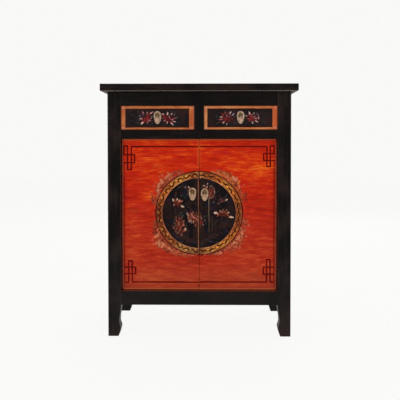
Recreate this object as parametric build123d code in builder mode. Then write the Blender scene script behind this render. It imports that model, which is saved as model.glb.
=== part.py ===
from build123d import *
import os

# Lacquered two-drawer, two-door cabinet on hoof feet.
# +Z up, front towards -Y, +X to the right as seen from the front.
# Origin: centre of the footprint, on the floor.  Millimetres.

os.makedirs("parts", exist_ok=True)

# ------------------------------------------------------------------ overall
TOP_W, TOP_D = 774.0, 420.0        # overhanging top
HEIGHT = 1000.0
TOP_T = 28.0
CASE_W, CASE_D = 724.0, 370.0      # outside of the posts
POST_W, POST_D = 51.0, 50.0

XO = CASE_W / 2                    # outer face of the posts, +-X
XI = XO - POST_W                   # inner face of the posts, +-X
YO = CASE_D / 2                    # outer face of the posts, +-Y
YI = YO - POST_D                   # inner face of the posts, +-Y
Z_TOP = HEIGHT - TOP_T             # underside of the top

# ------------------------------------------------------------------ levels
Z_SILL_LO, Z_SILL = 125.5, 181.0   # bottom rails
Z_MID_LO, Z_MID = 786.0, 820.0     # middle rails
Z_FRZ = 916.5                      # underside of the frieze rails
RAIL_T = 25.0                      # thin rails (frieze, back, sides)
TEN = 24.0                         # tenon length into the posts
TEN_T = 8.0                        # tenon and panel thickness
GROOVE = 8.0                       # panel groove depth

Y_TEN = YO - RAIL_T / 2            # centre plane of thin rails, front and back
X_TEN = XO - RAIL_T / 2            # centre plane of side rails
FRONT_TEN_Y = (-166.0, -154.0)     # tenons of the two deep front rails

# ------------------------------------------------------------------ doors
DOOR_T = 20.0
DOOR_RECESS = 20.0
Y_DOOR = -YO + DOOR_RECESS         # front face of the doors
DOOR_GAP = 1.5
PIVOT_X = XI - DOOR_GAP - DOOR_T / 2
PIVOT_Y = Y_DOOR + DOOR_T / 2
PIVOT_R = 6.0
PIVOT_IN = 25.0                    # pin length inside the door
SOCKET_CLEAR = 0.05                # radial running clearance
Z_DOOR_LO, Z_DOOR_HI = Z_SILL + DOOR_GAP, Z_MID_LO - DOOR_GAP
MEET_GAP = 0.5                     # half of the gap between the doors

# ------------------------------------------------------------------ drawers
DIV_W = 35.5                       # divider between the drawers
DRW_RECESS = 3.0
DRW_GAP = 1.0
DRW_FRONT_T = 20.0
DRW_SIDE_T = 12.0
Y_DRW = -YO + DRW_RECESS           # front face of the drawer fronts
DRW_X_OUT = XI - DRW_GAP           # outer end of a drawer front
DRW_X_IN = DIV_W / 2 + DRW_GAP     # inner end of a drawer front
Z_DRW_LO, Z_DRW_HI = Z_MID + 0.5, Z_FRZ - 1.0
Z_DRW_SIDE = 905.0
DRW_SIDE_OUT = DRW_X_OUT - 3.0     # outer face of the outer side
DRW_SIDE_IN = DRW_X_IN + 3.0       # inner face of the inner side
Y_DRW_BACK = 150.0                 # back face of the drawer back
Y_DRW_END = 158.0                  # tails of the drawer sides
DRW_BOT_Z, DRW_BOT_T = 826.0, 6.0

# ------------------------------------------------------------------ pulls
PLATE_T = 1.6
EYE_UP = 12.0                      # eye above the middle of the plate
EYE_OUT = 5.6                      # eye centre in front of the plate
EYE_R, WIRE_R = 4.0, 1.15
SHANK_R = 1.8
DROP_T = 1.8
# name: (x, z) of the plate's middle
DRAWER_PULL = {"left": (-164.4, 868.6), "right": (163.4, 869.2)}
DOOR_PULL = {"left": (-27.0, 565.0), "right": (21.5, 563.0)}

SIDES = (("left", -1), ("right", 1))


def block(x0, x1, y0, y1, z0, z1, mode=Mode.ADD):
    """Rectangular block between two opposite corners, in the active part."""
    x0, x1 = min(x0, x1), max(x0, x1)
    y0, y1 = min(y0, y1), max(y0, y1)
    with Locations((x0, y0, z0)):
        Box(x1 - x0, y1 - y0, z1 - z0,
            align=(Align.MIN, Align.MIN, Align.MIN), mode=mode)


def bore_z(x, y, z0, z1, r, mode=Mode.SUBTRACT):
    """Round hole (or pin) along Z from z0 up to z1."""
    with Locations((x, y, z0)):
        Cylinder(r, z1 - z0, align=(Align.CENTER, Align.CENTER, Align.MIN), mode=mode)


def bore_y(x, z, y0, y1, r, mode=Mode.SUBTRACT):
    """Round hole (or pin) along Y between y0 and y1."""
    y0, y1 = min(y0, y1), max(y0, y1)
    with Locations(Location((x, y1, z), (90, 0, 0))):
        Cylinder(r, y1 - y0, align=(Align.CENTER, Align.CENTER, Align.MIN), mode=mode)


# ================================================================== posts
# Seen from the front or the side a leg narrows to a waist under the rails,
# swells to a spur and curves back in to its sole.  Offsets are measured from
# the outer face; the same outline shapes both inner faces of a post.
def leg_outline(outer, inward, inner):
    """Closed outline of a leg in a vertical plane, for an active sketch."""
    def p(u, z):
        return (outer + inward * u, z)
    extra = inner - POST_W
    with BuildLine() as outline:
        l1 = ThreePointArc(p(0, 3), p(0.88, 0.88), p(3, 0))
        l2 = Line(l1 @ 1, p(38.5 + extra, 0))
        sole = ThreePointArc(l2 @ 1, p(40.5 + extra, 0.7), p(41.7 + extra, 2.4))
        l3 = Spline(sole @ 1, p(44.6 + extra, 10.5), p(47.7 + extra, 23.0),
                    p(49.4 + extra, 33.5))
        l4 = Spline(p(49.4 + extra, 33.5), p(47.4 + extra, 41.5), p(44.8 + extra, 51.5),
                    p(44.2 + extra, 62), p(45.6 + extra, 80), p(48.8 + extra, 102),
                    p(51.0 + extra, 123),
                    tangents=((-inward * 0.25, 1.0), (0.0, 1.0)))
        l5 = Line(l4 @ 1, p(51.0 + extra, Z_TOP))
        l6 = Line(l5 @ 1, p(0, Z_TOP))
        Line(l6 @ 1, l1 @ 0)
    make_face(outline.edges())


PEG_R = 3.0
PEG_X = 323.0
FRONT_PEG_Z = (944.0, 803.0, 153.0)
BACK_PEG_Z = (944.0, 803.0, 153.0)

for fb, sy in (("front", -1), ("rear", 1)):
    for side, sx in SIDES:
        with BuildPart() as post:
            with BuildSketch(Plane.XY) as section:
                with Locations((sx * (XO - 30), sy * (YO - 30))):
                    Rectangle(60, 60)
                outer_corner = section.vertices().sort_by_distance(
                    (sx * XO, sy * YO, 0))[0]
                fillet(outer_corner, 3.0)
            extrude(amount=Z_TOP)
            with BuildSketch(Plane.XZ) as front_view:
                leg_outline(sx * XO, -sx, POST_W)
            extrude(amount=CASE_D, both=True, mode=Mode.INTERSECT)
            with BuildSketch(Plane.YZ) as side_view:
                leg_outline(sy * YO, -sy, POST_D)
            extrude(amount=CASE_W, both=True, mode=Mode.INTERSECT)
            # tenon up into the front or rear member of the top frame
            block(sx * 318, sx * 334, sy * 162, sy * 178, Z_TOP - 1, Z_TOP + 14)
            # mortises for the front or back rails
            if fb == "front":
                block(sx * XI, sx * (XI + TEN), -Y_TEN - 4, -Y_TEN + 4, 926, 962,
                      mode=Mode.SUBTRACT)
                block(sx * XI, sx * (XI + TEN), *FRONT_TEN_Y, 792, 814,
                      mode=Mode.SUBTRACT)
                block(sx * XI, sx * (XI + TEN), *FRONT_TEN_Y, 133, 173,
                      mode=Mode.SUBTRACT)
                for z in FRONT_PEG_Z:
                    bore_y(sx * PEG_X, z, -180, -YI, PEG_R)
            else:
                block(sx * XI, sx * (XI + TEN), Y_TEN - 4, Y_TEN + 4, 926, 962,
                      mode=Mode.SUBTRACT)
                block(sx * XI, sx * (XI + TEN), Y_TEN - 4, Y_TEN + 4, 795, 811,
                      mode=Mode.SUBTRACT)
                block(sx * XI, sx * (XI + TEN), Y_TEN - 4, Y_TEN + 4, 133.5, 171,
                      mode=Mode.SUBTRACT)
                for z in BACK_PEG_Z:
                    bore_y(sx * PEG_X, z, 150, YO, PEG_R)
                # grooves for the two back panels
                block(sx * XI, sx * (XI + GROOVE), Y_TEN - 4, Y_TEN + 4,
                      Z_SILL - GROOVE, Z_MID_LO + GROOVE, mode=Mode.SUBTRACT)
                block(sx * XI, sx * (XI + GROOVE), Y_TEN - 4, Y_TEN + 4,
                      Z_MID - GROOVE, Z_FRZ + GROOVE, mode=Mode.SUBTRACT)
            # mortises for the side rails, and the groove for the side panel
            for z0, z1 in ((926, 962), (133.5, 171)):
                block(sx * (X_TEN - 4), sx * (X_TEN + 4), sy * YI, sy * (YI + TEN),
                      z0, z1, mode=Mode.SUBTRACT)
            block(sx * (X_TEN - 4), sx * (X_TEN + 4), sy * YI, sy * (YI + GROOVE),
                  Z_SILL - GROOVE, Z_FRZ + GROOVE, mode=Mode.SUBTRACT)
            # mortise for the shelf bearer
            block(sx * 323, sx * 333, sy * YI, sy * (YI + 10), 454, 466,
                  mode=Mode.SUBTRACT)
        post.part.label = f"{fb}_{side}_post"
        export_step(post.part, f"parts/{fb}_{side}_post.step")

# ================================================================== top
FRAME_W = 80.0                     # width of the mitred frame members
XT, YT = TOP_W / 2, TOP_D / 2
XF, YF = XT - FRAME_W, YT - FRAME_W

for name, sy in (("top_front_rail", -1), ("top_rear_rail", 1)):
    with BuildPart() as member:
        with BuildSketch(Plane.XY.offset(Z_TOP)):
            with BuildLine():
                Polyline((-XT, sy * YT), (XT, sy * YT), (XF, sy * YF), (-XF, sy * YF),
                         close=True)
            make_face()
        extrude(amount=TOP_T)
        outer = member.edges().filter_by(Axis.X).filter_by(
            lambda e: abs(e.center().Y - sy * YT) < 0.1)
        fillet(outer, 2.5)
        block(-XF - 10, XF + 10, -YF - 10, YF + 10, 984, 992, mode=Mode.SUBTRACT)
        block(-15, 15, sy * YF, sy * (YF + 10), 974, 981, mode=Mode.SUBTRACT)
        for sx in (-1, 1):
            block(sx * 318, sx * 334, sy * 162, sy * 178, Z_TOP, Z_TOP + 14,
                  mode=Mode.SUBTRACT)
    member.part.label = name
    export_step(member.part, f"parts/{name}.step")

for side, sx in SIDES:
    with BuildPart() as end:
        with BuildSketch(Plane.XY.offset(Z_TOP)):
            with BuildLine():
                Polyline((sx * XT, -YT), (sx * XT, YT), (sx * XF, YF), (sx * XF, -YF),
                         close=True)
            make_face()
        extrude(amount=TOP_T)
        outer = end.edges().filter_by(Axis.Y).filter_by(
            lambda e: abs(e.center().X - sx * XT) < 0.1)
        fillet(outer, 2.5)
        block(-XF - 10, XF + 10, -YF - 10, YF + 10, 984, 992, mode=Mode.SUBTRACT)
    end.part.label = f"top_{side}_end"
    export_step(end.part, f"parts/top_{side}_end.step")

# floating panel: a tongue all round sits in the groove of the frame
with BuildPart() as top_panel:
    block(-XF + 0.5, XF - 0.5, -YF + 0.5, YF - 0.5, 982, HEIGHT - 0.5)
    block(-XF - 9, XF + 9, -YF - 9, YF + 9, 984, 992)
top_panel.part.label = "top_panel"
export_step(top_panel.part, "parts/top_panel.step")

with BuildPart() as top_batten:
    block(-25, 25, -YF, YF, 962, 982)
    # above the frame's underside only the stub tenon goes on
    block(-15, 15, -YF - 9, YF + 9, 974, 981)
top_batten.part.label = "top_batten"
export_step(top_batten.part, "parts/top_batten.step")

# ================================================================== front rails
with BuildPart() as frieze_rail:
    block(-XI, XI, -YO, -YO + RAIL_T, Z_FRZ, Z_TOP)
    fillet(frieze_rail.edges().filter_by(Axis.X).sort_by_distance((0, -YO, Z_FRZ))[0], 1.5)
    for sx in (-1, 1):
        block(sx * (XI - 1), sx * (XI + TEN), -Y_TEN - 4, -Y_TEN + 4, 926, 962)
        bore_y(sx * PEG_X, 944, -180, -YI, PEG_R)
    block(-10, 10, -Y_TEN - 4, -Y_TEN + 4, Z_FRZ, Z_FRZ + 8, mode=Mode.SUBTRACT)
frieze_rail.part.label = "frieze_rail"
export_step(frieze_rail.part, "parts/frieze_rail.step")

with BuildPart() as drawer_divider:
    block(-DIV_W / 2, DIV_W / 2, -YO, -150, Z_MID, Z_FRZ)
    fillet(drawer_divider.edges().filter_by(Axis.Z).group_by(Axis.Y)[0], 1.5)
    block(-10, 10, -Y_TEN - 4, -Y_TEN + 4, Z_MID - 8, Z_FRZ + 8)
drawer_divider.part.label = "drawer_divider"
export_step(drawer_divider.part, "parts/drawer_divider.step")

RUNNER_TENONS = ((-305, -278), (-30, 30), (278, 305))

with BuildPart() as middle_rail:
    block(-XI, XI, -YO, -YI, Z_MID_LO, Z_MID)
    fillet(middle_rail.edges().filter_by(Axis.X).group_by(Axis.Y)[0], 1.5)
    for sx in (-1, 1):
        block(sx * (XI - 1), sx * (XI + TEN), *FRONT_TEN_Y, 792, 814)
        bore_y(sx * PEG_X, 803, -180, -YI, PEG_R)
        # socket of the door's upper pivot
        bore_z(sx * PIVOT_X, PIVOT_Y, Z_MID_LO, Z_MID_LO + 14, PIVOT_R + SOCKET_CLEAR)
    block(-10, 10, -Y_TEN - 4, -Y_TEN + 4, Z_MID - 8, Z_MID, mode=Mode.SUBTRACT)
    for x0, x1 in RUNNER_TENONS:
        block(x0, x1, -YI - 8, -YI, 804, 816, mode=Mode.SUBTRACT)
middle_rail.part.label = "middle_rail"
export_step(middle_rail.part, "parts/middle_rail.step")

with BuildPart() as bottom_rail:
    block(-XI, XI, -YO, -YI, Z_SILL_LO, Z_SILL)
    fillet(bottom_rail.edges().filter_by(Axis.X).group_by(Axis.Y)[0], 2.0)
    for sx in (-1, 1):
        block(sx * (XI - 1), sx * (XI + TEN), *FRONT_TEN_Y, 133, 173)
        bore_y(sx * PEG_X, 153, -180, -YI, PEG_R)
        # socket that carries the door's lower pivot
        bore_z(sx * PIVOT_X, PIVOT_Y, Z_SILL - 13, Z_SILL, PIVOT_R + SOCKET_CLEAR)
    # groove for the floor board's front tongue
    block(-XI, XI, -YI - 8, -YI, 168, 175, mode=Mode.SUBTRACT)
bottom_rail.part.label = "bottom_rail"
export_step(bottom_rail.part, "parts/bottom_rail.step")

# ================================================================== back
with BuildPart() as back_top_rail:
    block(-XI, XI, YO - RAIL_T, YO, Z_FRZ, Z_TOP)
    for sx in (-1, 1):
        block(sx * (XI - 1), sx * (XI + TEN), Y_TEN - 4, Y_TEN + 4, 926, 962)
        bore_y(sx * PEG_X, 944, 150, YO, PEG_R)
    block(-XI, XI, Y_TEN - 4, Y_TEN + 4, Z_FRZ, Z_FRZ + GROOVE, mode=Mode.SUBTRACT)
back_top_rail.part.label = "back_top_rail"
export_step(back_top_rail.part, "parts/back_top_rail.step")

with BuildPart() as back_middle_rail:
    block(-XI, XI, YO - RAIL_T, YO, Z_MID_LO, Z_MID)
    for sx in (-1, 1):
        block(sx * (XI - 1), sx * (XI + TEN), Y_TEN - 4, Y_TEN + 4, 795, 811)
        bore_y(sx * PEG_X, 803, 150, YO, PEG_R)
    block(-XI, XI, Y_TEN - 4, Y_TEN + 4, Z_MID_LO, Z_MID_LO + GROOVE, mode=Mode.SUBTRACT)
    block(-XI, XI, Y_TEN - 4, Y_TEN + 4, Z_MID - GROOVE, Z_MID, mode=Mode.SUBTRACT)
    for x0, x1 in RUNNER_TENONS:
        block(x0, x1, 160, 165, 804, 816, mode=Mode.SUBTRACT)
back_middle_rail.part.label = "back_middle_rail"
export_step(back_middle_rail.part, "parts/back_middle_rail.step")

with BuildPart() as back_bottom_rail:
    block(-XI, XI, YO - RAIL_T, YO, Z_SILL_LO, Z_SILL)
    for sx in (-1, 1):
        block(sx * (XI - 1), sx * (XI + TEN), Y_TEN - 4, Y_TEN + 4, 133.5, 171)
        bore_y(sx * PEG_X, 153, 150, YO, PEG_R)
    block(-XI, XI, Y_TEN - 4, Y_TEN + 4, Z_SILL - GROOVE, Z_SILL, mode=Mode.SUBTRACT)
    # groove for the floor board's back tongue
    block(-XI, XI, 160, 165, 168, 175, mode=Mode.SUBTRACT)
back_bottom_rail.part.label = "back_bottom_rail"
export_step(back_bottom_rail.part, "parts/back_bottom_rail.step")

with BuildPart() as back_upper_panel:
    block(-XI - 7, XI + 7, Y_TEN - 4, Y_TEN + 4, Z_MID - 7, Z_FRZ + 7)
back_upper_panel.part.label = "back_upper_panel"
export_step(back_upper_panel.part, "parts/back_upper_panel.step")

with BuildPart() as back_lower_panel:
    block(-XI - 7, XI + 7, Y_TEN - 4, Y_TEN + 4, Z_SILL - 7, Z_MID_LO + 7)
back_lower_panel.part.label = "back_lower_panel"
export_step(back_lower_panel.part, "parts/back_lower_panel.step")

# ================================================================== sides
for side, sx in SIDES:
    with BuildPart() as side_top_rail:
        block(sx * (XO - RAIL_T), sx * XO, -YI, YI, Z_FRZ, Z_TOP)
        block(sx * (X_TEN - 4), sx * (X_TEN + 4), -YI - TEN, YI + TEN, 926, 962)
        block(sx * (X_TEN - 4), sx * (X_TEN + 4), -YI, YI, Z_FRZ, Z_FRZ + GROOVE,
              mode=Mode.SUBTRACT)
    side_top_rail.part.label = f"{side}_side_top_rail"
    export_step(side_top_rail.part, f"parts/{side}_side_top_rail.step")

    with BuildPart() as side_bottom_rail:
        block(sx * (XO - RAIL_T), sx * XO, -YI, YI, Z_SILL_LO, Z_SILL)
        block(sx * (X_TEN - 4), sx * (X_TEN + 4), -YI - TEN, YI + TEN, 133.5, 171)
        block(sx * (X_TEN - 4), sx * (X_TEN + 4), -YI, YI, Z_SILL - GROOVE, Z_SILL,
              mode=Mode.SUBTRACT)
    side_bottom_rail.part.label = f"{side}_side_bottom_rail"
    export_step(side_bottom_rail.part, f"parts/{side}_side_bottom_rail.step")

    with BuildPart() as side_panel:
        block(sx * (X_TEN - 4), sx * (X_TEN + 4), -YI - 7, YI + 7,
              Z_SILL - 7, Z_FRZ + 7)
    side_panel.part.label = f"{side}_side_panel"
    export_step(side_panel.part, f"parts/{side}_side_panel.step")

# ================================================================== inside
# three runners under the drawers; the middle one has a guide between them
with BuildPart() as drawer_runners:
    for x0, x1, (t0, t1) in ((-XI, -272, RUNNER_TENONS[0]), (-45, 45, RUNNER_TENONS[1]),
                             (272, XI, RUNNER_TENONS[2])):
        block(x0, x1, -YI, YO - RAIL_T, 800, Z_MID)
        block(t0, t1, -YI - 7.5, YO - RAIL_T + 4.5, 804, 816)
    block(-DIV_W / 2, DIV_W / 2, -YI, YO - RAIL_T, Z_MID, Z_MID + 12)
drawer_runners.part.label = "drawer_runners"
export_step(drawer_runners.part, "parts/drawer_runners.step")

with BuildPart() as shelf_bearers:
    for sx in (-1, 1):
        block(sx * 318, sx * 338, -YI, YI, 450, 470)
        block(sx * 323, sx * 333, -YI - 9.5, YI + 9.5, 454, 466)
shelf_bearers.part.label = "shelf_bearers"
export_step(shelf_bearers.part, "parts/shelf_bearers.step")

with BuildPart() as shelf:
    block(-344.5, 344.5, -125, YI - 0.5, 470, 484)
    fillet(shelf.edges().filter_by(Axis.X).group_by(Axis.Y)[0], 2.0)
shelf.part.label = "shelf"
export_step(shelf.part, "parts/shelf.step")

# floor of the cupboard, notched round the rear posts, tongued front and back
with BuildPart() as floor_board:
    block(-336.5, 336.5, -YI, YI - 0.4, 167, Z_SILL)
    block(-XI + 0.4, XI - 0.4, -YI, YO - RAIL_T, 167, Z_SILL)
    block(-XI + 0.4, XI - 0.4, -YI - 7.5, YO - RAIL_T + 4.5, 168, 175)
floor_board.part.label = "floor_board"
export_step(floor_board.part, "parts/floor_board.step")

with BuildPart() as door_stop:
    block(-60, 60, Y_DOOR + DOOR_T + 0.5, -YI, Z_MID_LO - 14, Z_MID_LO)
    fillet(door_stop.edges().filter_by(Axis.Z), 2.0)
door_stop.part.label = "door_stop"
export_step(door_stop.part, "parts/door_stop.step")

with BuildPart() as joint_pegs:
    for sx in (-1, 1):
        for z in FRONT_PEG_Z:
            bore_y(sx * PEG_X, z, -179.5, -YI, PEG_R - 0.02, mode=Mode.ADD)
        for z in BACK_PEG_Z:
            bore_y(sx * PEG_X, z, 150.5, YO, PEG_R - 0.02, mode=Mode.ADD)
joint_pegs.part.label = "joint_pegs"
export_step(joint_pegs.part, "parts/joint_pegs.step")


# ================================================================== pulls
# A pull is a shield-shaped plate, a split pin whose eye stands in front of it
# and whose two legs are spread behind the wood, and a flat drop on the eye.
def pull(prefix, x, z, y_face, y_back):
    """Plate, split pin and drop on a wooden face at y_face, y_back behind it."""
    y_plate = y_face - PLATE_T                     # front of the plate
    y_eye, z_eye = y_plate - EYE_OUT, z + EYE_UP   # centre of the eye

    with BuildPart() as plate:
        with BuildSketch(Plane.XZ.offset(-y_face)):
            with BuildLine():
                top = ThreePointArc((x - 9.6, z + 21.2), (x, z + 25.2), (x + 9.6, z + 21.2))
                foot = ThreePointArc((x + 6.2, z - 22.3), (x, z - 25.2), (x - 6.2, z - 22.3))
                side = Spline(top @ 1, (x + 14.6, z + 6.0), (x + 12.6, z - 9.0), foot @ 0,
                              tangents=(top % 1, foot % 0))
                mirror(side, about=Plane.YZ.offset(x))
            make_face()
        extrude(amount=PLATE_T)
        front = plate.faces().sort_by(Axis.Y)[0]
        chamfer(front.edges(), 0.6)
        bore_y(x, z_eye, y_plate - 0.8, y_plate, 4.6, mode=Mode.ADD)
        bore_y(x, z_eye, y_plate - 5, y_face + 1, SHANK_R + 0.1)
    plate.part.label = f"{prefix}_pull_plate"
    export_step(plate.part, f"parts/{prefix}_pull_plate.step")

    with BuildPart() as pin:
        with Locations(Location((x, y_eye, z_eye), (0, 90, 0))):
            Torus(EYE_R, WIRE_R)
        bore_y(x, z_eye, y_eye + EYE_R, y_back + 1.4, SHANK_R, mode=Mode.ADD)
        bore_y(x, z_eye, y_plate - 1.6, y_plate - 0.8, 2.6, mode=Mode.ADD)
        block(x - 1.6, x + 1.6, y_back, y_back + 1.4, z_eye - 16, z_eye + 16)
    pin.part.label = f"{prefix}_pull_pin"
    export_step(pin.part, f"parts/{prefix}_pull_pin.step")

    with BuildPart() as drop:
        with BuildSketch(Plane.XZ.offset(-y_eye)):
            with BuildLine():
                ring = ThreePointArc((x - 2.6, z_eye - 6.19), (x, z_eye - 0.6),
                                     (x + 2.6, z_eye - 6.19))
                neck = Spline(ring @ 1, (x + 2.75, z_eye - 9.5), (x + 4.4, z_eye - 15.0),
                              (x + 6.9, z_eye - 23.5), tangents=(ring % 1, (0.05, -1)))
                belly = Spline(neck @ 1, (x + 4.6, z_eye - 29.8), (x, z_eye - 33.0),
                               tangents=((0.05, -1), (-1, -0.15)))
                mirror([neck, belly], about=Plane.YZ.offset(x))
            make_face()
        extrude(amount=DROP_T / 2, both=True)
        rim = drop.faces().filter_by(Axis.Y).sort_by(Axis.Y)
        fillet(rim[0].edges() + rim[-1].edges(), 0.45)
        bore_y(x, z_eye - EYE_R, y_eye - 3, y_eye + 3, 1.75)
    drop.part.label = f"{prefix}_pull_drop"
    export_step(drop.part, f"parts/{prefix}_pull_drop.step")


# ================================================================== drawers
for side, sx in SIDES:
    px, pz = DRAWER_PULL[side]

    with BuildPart() as drawer_front:
        block(sx * DRW_X_IN, sx * DRW_X_OUT, Y_DRW, Y_DRW + DRW_FRONT_T,
              Z_DRW_LO, Z_DRW_HI)
        # raised field: the outer 3 mm fall away by 1.2 mm
        face = drawer_front.faces().sort_by(Axis.Y)[0]
        chamfer(face.edges(), length=3.0, length2=1.2, reference=face)
        yb = Y_DRW + DRW_FRONT_T
        for s0 in (DRW_SIDE_OUT, DRW_SIDE_IN + DRW_SIDE_T):
            block(sx * (s0 - DRW_SIDE_T), sx * s0, yb - 8, yb, Z_DRW_LO, Z_DRW_SIDE,
                  mode=Mode.SUBTRACT)
        block(sx * (DRW_SIDE_IN + 1), sx * (DRW_SIDE_OUT - 1), yb - 6, yb,
              DRW_BOT_Z, DRW_BOT_Z + DRW_BOT_T, mode=Mode.SUBTRACT)
        bore_y(px, pz + EYE_UP, Y_DRW - 1, yb + 1, SHANK_R + 0.1)
    drawer_front.part.label = f"{side}_drawer_front"
    export_step(drawer_front.part, f"parts/{side}_drawer_front.step")

    for which, s_lo, s_hi in (
            ("outer_side", DRW_SIDE_OUT - DRW_SIDE_T, DRW_SIDE_OUT),
            ("inner_side", DRW_SIDE_IN, DRW_SIDE_IN + DRW_SIDE_T)):
        with BuildPart() as drawer_side:
            block(sx * s_lo, sx * s_hi, yb - 8, Y_DRW_END, Z_DRW_LO, Z_DRW_SIDE)
            # the face towards the inside of the drawer
            inward = (s_lo, s_lo + 6) if which == "outer_side" else (s_hi - 6, s_hi)
            block(sx * inward[0], sx * inward[1], yb - 8, Y_DRW_END,
                  DRW_BOT_Z, DRW_BOT_Z + DRW_BOT_T, mode=Mode.SUBTRACT)
            housing = (s_lo, s_lo + 5) if which == "outer_side" else (s_hi - 5, s_hi)
            block(sx * housing[0], sx * housing[1], Y_DRW_BACK - 10, Y_DRW_BACK,
                  DRW_BOT_Z + DRW_BOT_T, Z_DRW_SIDE, mode=Mode.SUBTRACT)
        drawer_side.part.label = f"{side}_drawer_{which}"
        export_step(drawer_side.part, f"parts/{side}_drawer_{which}.step")

    with BuildPart() as drawer_back:
        block(sx * (DRW_SIDE_IN + DRW_SIDE_T - 5), sx * (DRW_SIDE_OUT - DRW_SIDE_T + 5),
              Y_DRW_BACK - 10, Y_DRW_BACK, DRW_BOT_Z + DRW_BOT_T, 900)
    drawer_back.part.label = f"{side}_drawer_back"
    export_step(drawer_back.part, f"parts/{side}_drawer_back.step")

    with BuildPart() as drawer_bottom:
        block(sx * (DRW_SIDE_IN + DRW_SIDE_T - 5.5), sx * (DRW_SIDE_OUT - DRW_SIDE_T + 5.5),
              yb - 5.5, Y_DRW_BACK + 4, DRW_BOT_Z, DRW_BOT_Z + DRW_BOT_T)
    drawer_bottom.part.label = f"{side}_drawer_bottom"
    export_step(drawer_bottom.part, f"parts/{side}_drawer_bottom.step")

    pull(f"{side}_drawer", px, pz, Y_DRW, Y_DRW + DRW_FRONT_T)

# ================================================================== doors
BATTEN_Z = (245.0, 720.0)          # middles of the two battens
BATTEN_X = (22.0, 284.0)

for side, sx in SIDES:
    px, pz = DOOR_PULL[side]

    with BuildPart() as door_panel:
        with BuildSketch(Plane.XY.offset(Z_DOOR_LO)) as plan:
            with Locations((sx * (MEET_GAP + XI - DOOR_GAP) / 2, PIVOT_Y)):
                Rectangle(XI - DOOR_GAP - MEET_GAP, DOOR_T)
            hinge_front = plan.vertices().sort_by_distance(
                (sx * XI, Y_DOOR, Z_DOOR_LO))[0]
            fillet(hinge_front, 8.0)
            hinge_back = plan.vertices().sort_by_distance(
                (sx * XI, Y_DOOR + DOOR_T, Z_DOOR_LO))[0]
            fillet(hinge_back, 2.0)
        extrude(amount=Z_DOOR_HI - Z_DOOR_LO)
        face = door_panel.faces().filter_by(Axis.Y).sort_by(Axis.Y)[0]
        rim = face.edges().filter_by(
            lambda e: abs(e.center().X) < XI - 15 or e.length < 0.1)
        chamfer(rim, 1.0)
        # sliding dovetail housings for the battens
        for zb in BATTEN_Z:
            with BuildSketch(Plane.YZ.offset(sx * BATTEN_X[0])):
                with BuildLine():
                    Polyline((Y_DOOR + DOOR_T, zb - 17), (Y_DOOR + DOOR_T, zb + 17),
                             (Y_DOOR + DOOR_T - 6, zb + 20), (Y_DOOR + DOOR_T - 6, zb - 20),
                             close=True)
                make_face()
            extrude(amount=sx * (BATTEN_X[1] - BATTEN_X[0]), mode=Mode.SUBTRACT)
        for z0 in (Z_DOOR_LO, Z_DOOR_HI - PIVOT_IN):
            bore_z(sx * PIVOT_X, PIVOT_Y, z0, z0 + PIVOT_IN, PIVOT_R + 0.02)
        bore_y(px, pz + EYE_UP, Y_DOOR - 1, Y_DOOR + DOOR_T + 1, SHANK_R + 0.1)
    door_panel.part.label = f"{side}_door_panel"
    export_step(door_panel.part, f"parts/{side}_door_panel.step")

    with BuildPart() as door_battens:
        for zb in BATTEN_Z:
            with BuildSketch(Plane.YZ.offset(sx * BATTEN_X[0])):
                with BuildLine():
                    yb = Y_DOOR + DOOR_T
                    Polyline((yb - 6, zb - 20), (yb - 6, zb + 20), (yb, zb + 17),
                             (yb + 9, zb + 17), (yb + 12, zb + 14), (yb + 12, zb - 14),
                             (yb + 9, zb - 17), (yb, zb - 17), close=True)
                make_face()
            extrude(amount=sx * (BATTEN_X[1] - BATTEN_X[0]))
    door_battens.part.label = f"{side}_door_battens"
    export_step(door_battens.part, f"parts/{side}_door_battens.step")

    with BuildPart() as door_pivots:
        bore_z(sx * PIVOT_X, PIVOT_Y, Z_DOOR_LO - DOOR_GAP - 12.5, Z_DOOR_LO + PIVOT_IN,
               PIVOT_R, mode=Mode.ADD)
        bore_z(sx * PIVOT_X, PIVOT_Y, Z_DOOR_HI - PIVOT_IN, Z_DOOR_HI + DOOR_GAP + 12.5,
               PIVOT_R, mode=Mode.ADD)
        ends = door_pivots.edges().filter_by(GeomType.CIRCLE).group_by(Axis.Z)
        chamfer(ends[0] + ends[-1], 1.0)
    door_pivots.part.label = f"{side}_door_pivots"
    export_step(door_pivots.part, f"parts/{side}_door_pivots.step")

    pull(f"{side}_door", px, pz, Y_DOOR, Y_DOOR + DOOR_T)
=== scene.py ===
import math
import random

import bmesh
import bpy
from mathutils import Matrix, Vector


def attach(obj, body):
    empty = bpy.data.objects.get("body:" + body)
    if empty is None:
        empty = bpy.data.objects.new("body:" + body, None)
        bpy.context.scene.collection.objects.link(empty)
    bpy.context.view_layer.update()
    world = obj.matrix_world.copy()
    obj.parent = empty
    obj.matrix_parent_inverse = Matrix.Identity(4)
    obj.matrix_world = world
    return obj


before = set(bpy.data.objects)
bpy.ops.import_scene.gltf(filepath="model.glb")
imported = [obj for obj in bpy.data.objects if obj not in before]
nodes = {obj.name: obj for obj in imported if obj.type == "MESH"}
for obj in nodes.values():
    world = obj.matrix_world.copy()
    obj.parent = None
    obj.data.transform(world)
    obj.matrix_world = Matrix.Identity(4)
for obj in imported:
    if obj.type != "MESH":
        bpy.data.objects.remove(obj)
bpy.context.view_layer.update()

MM = 0.001

# ------------------------------------------------------------------ the cabinet's own numbers, mm
Y_DOOR = -165.0          # front face of the doors
Y_DRAWER = -182.0        # front face of the drawers
DOOR_EDGE = 0.5          # meeting edges of the doors, either side of x = 0
FIELD = {"left": (-288.7, -42.4, 832.5, 901.4), "right": (34.9, 285.5, 833.2, 901.6)}
PANEL = {"left": (-310.0, -18.75, 820.5, 915.5), "right": (18.75, 310.0, 820.5, 915.5)}
RING = (-0.6, 488.9)     # middle of the painted round


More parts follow.
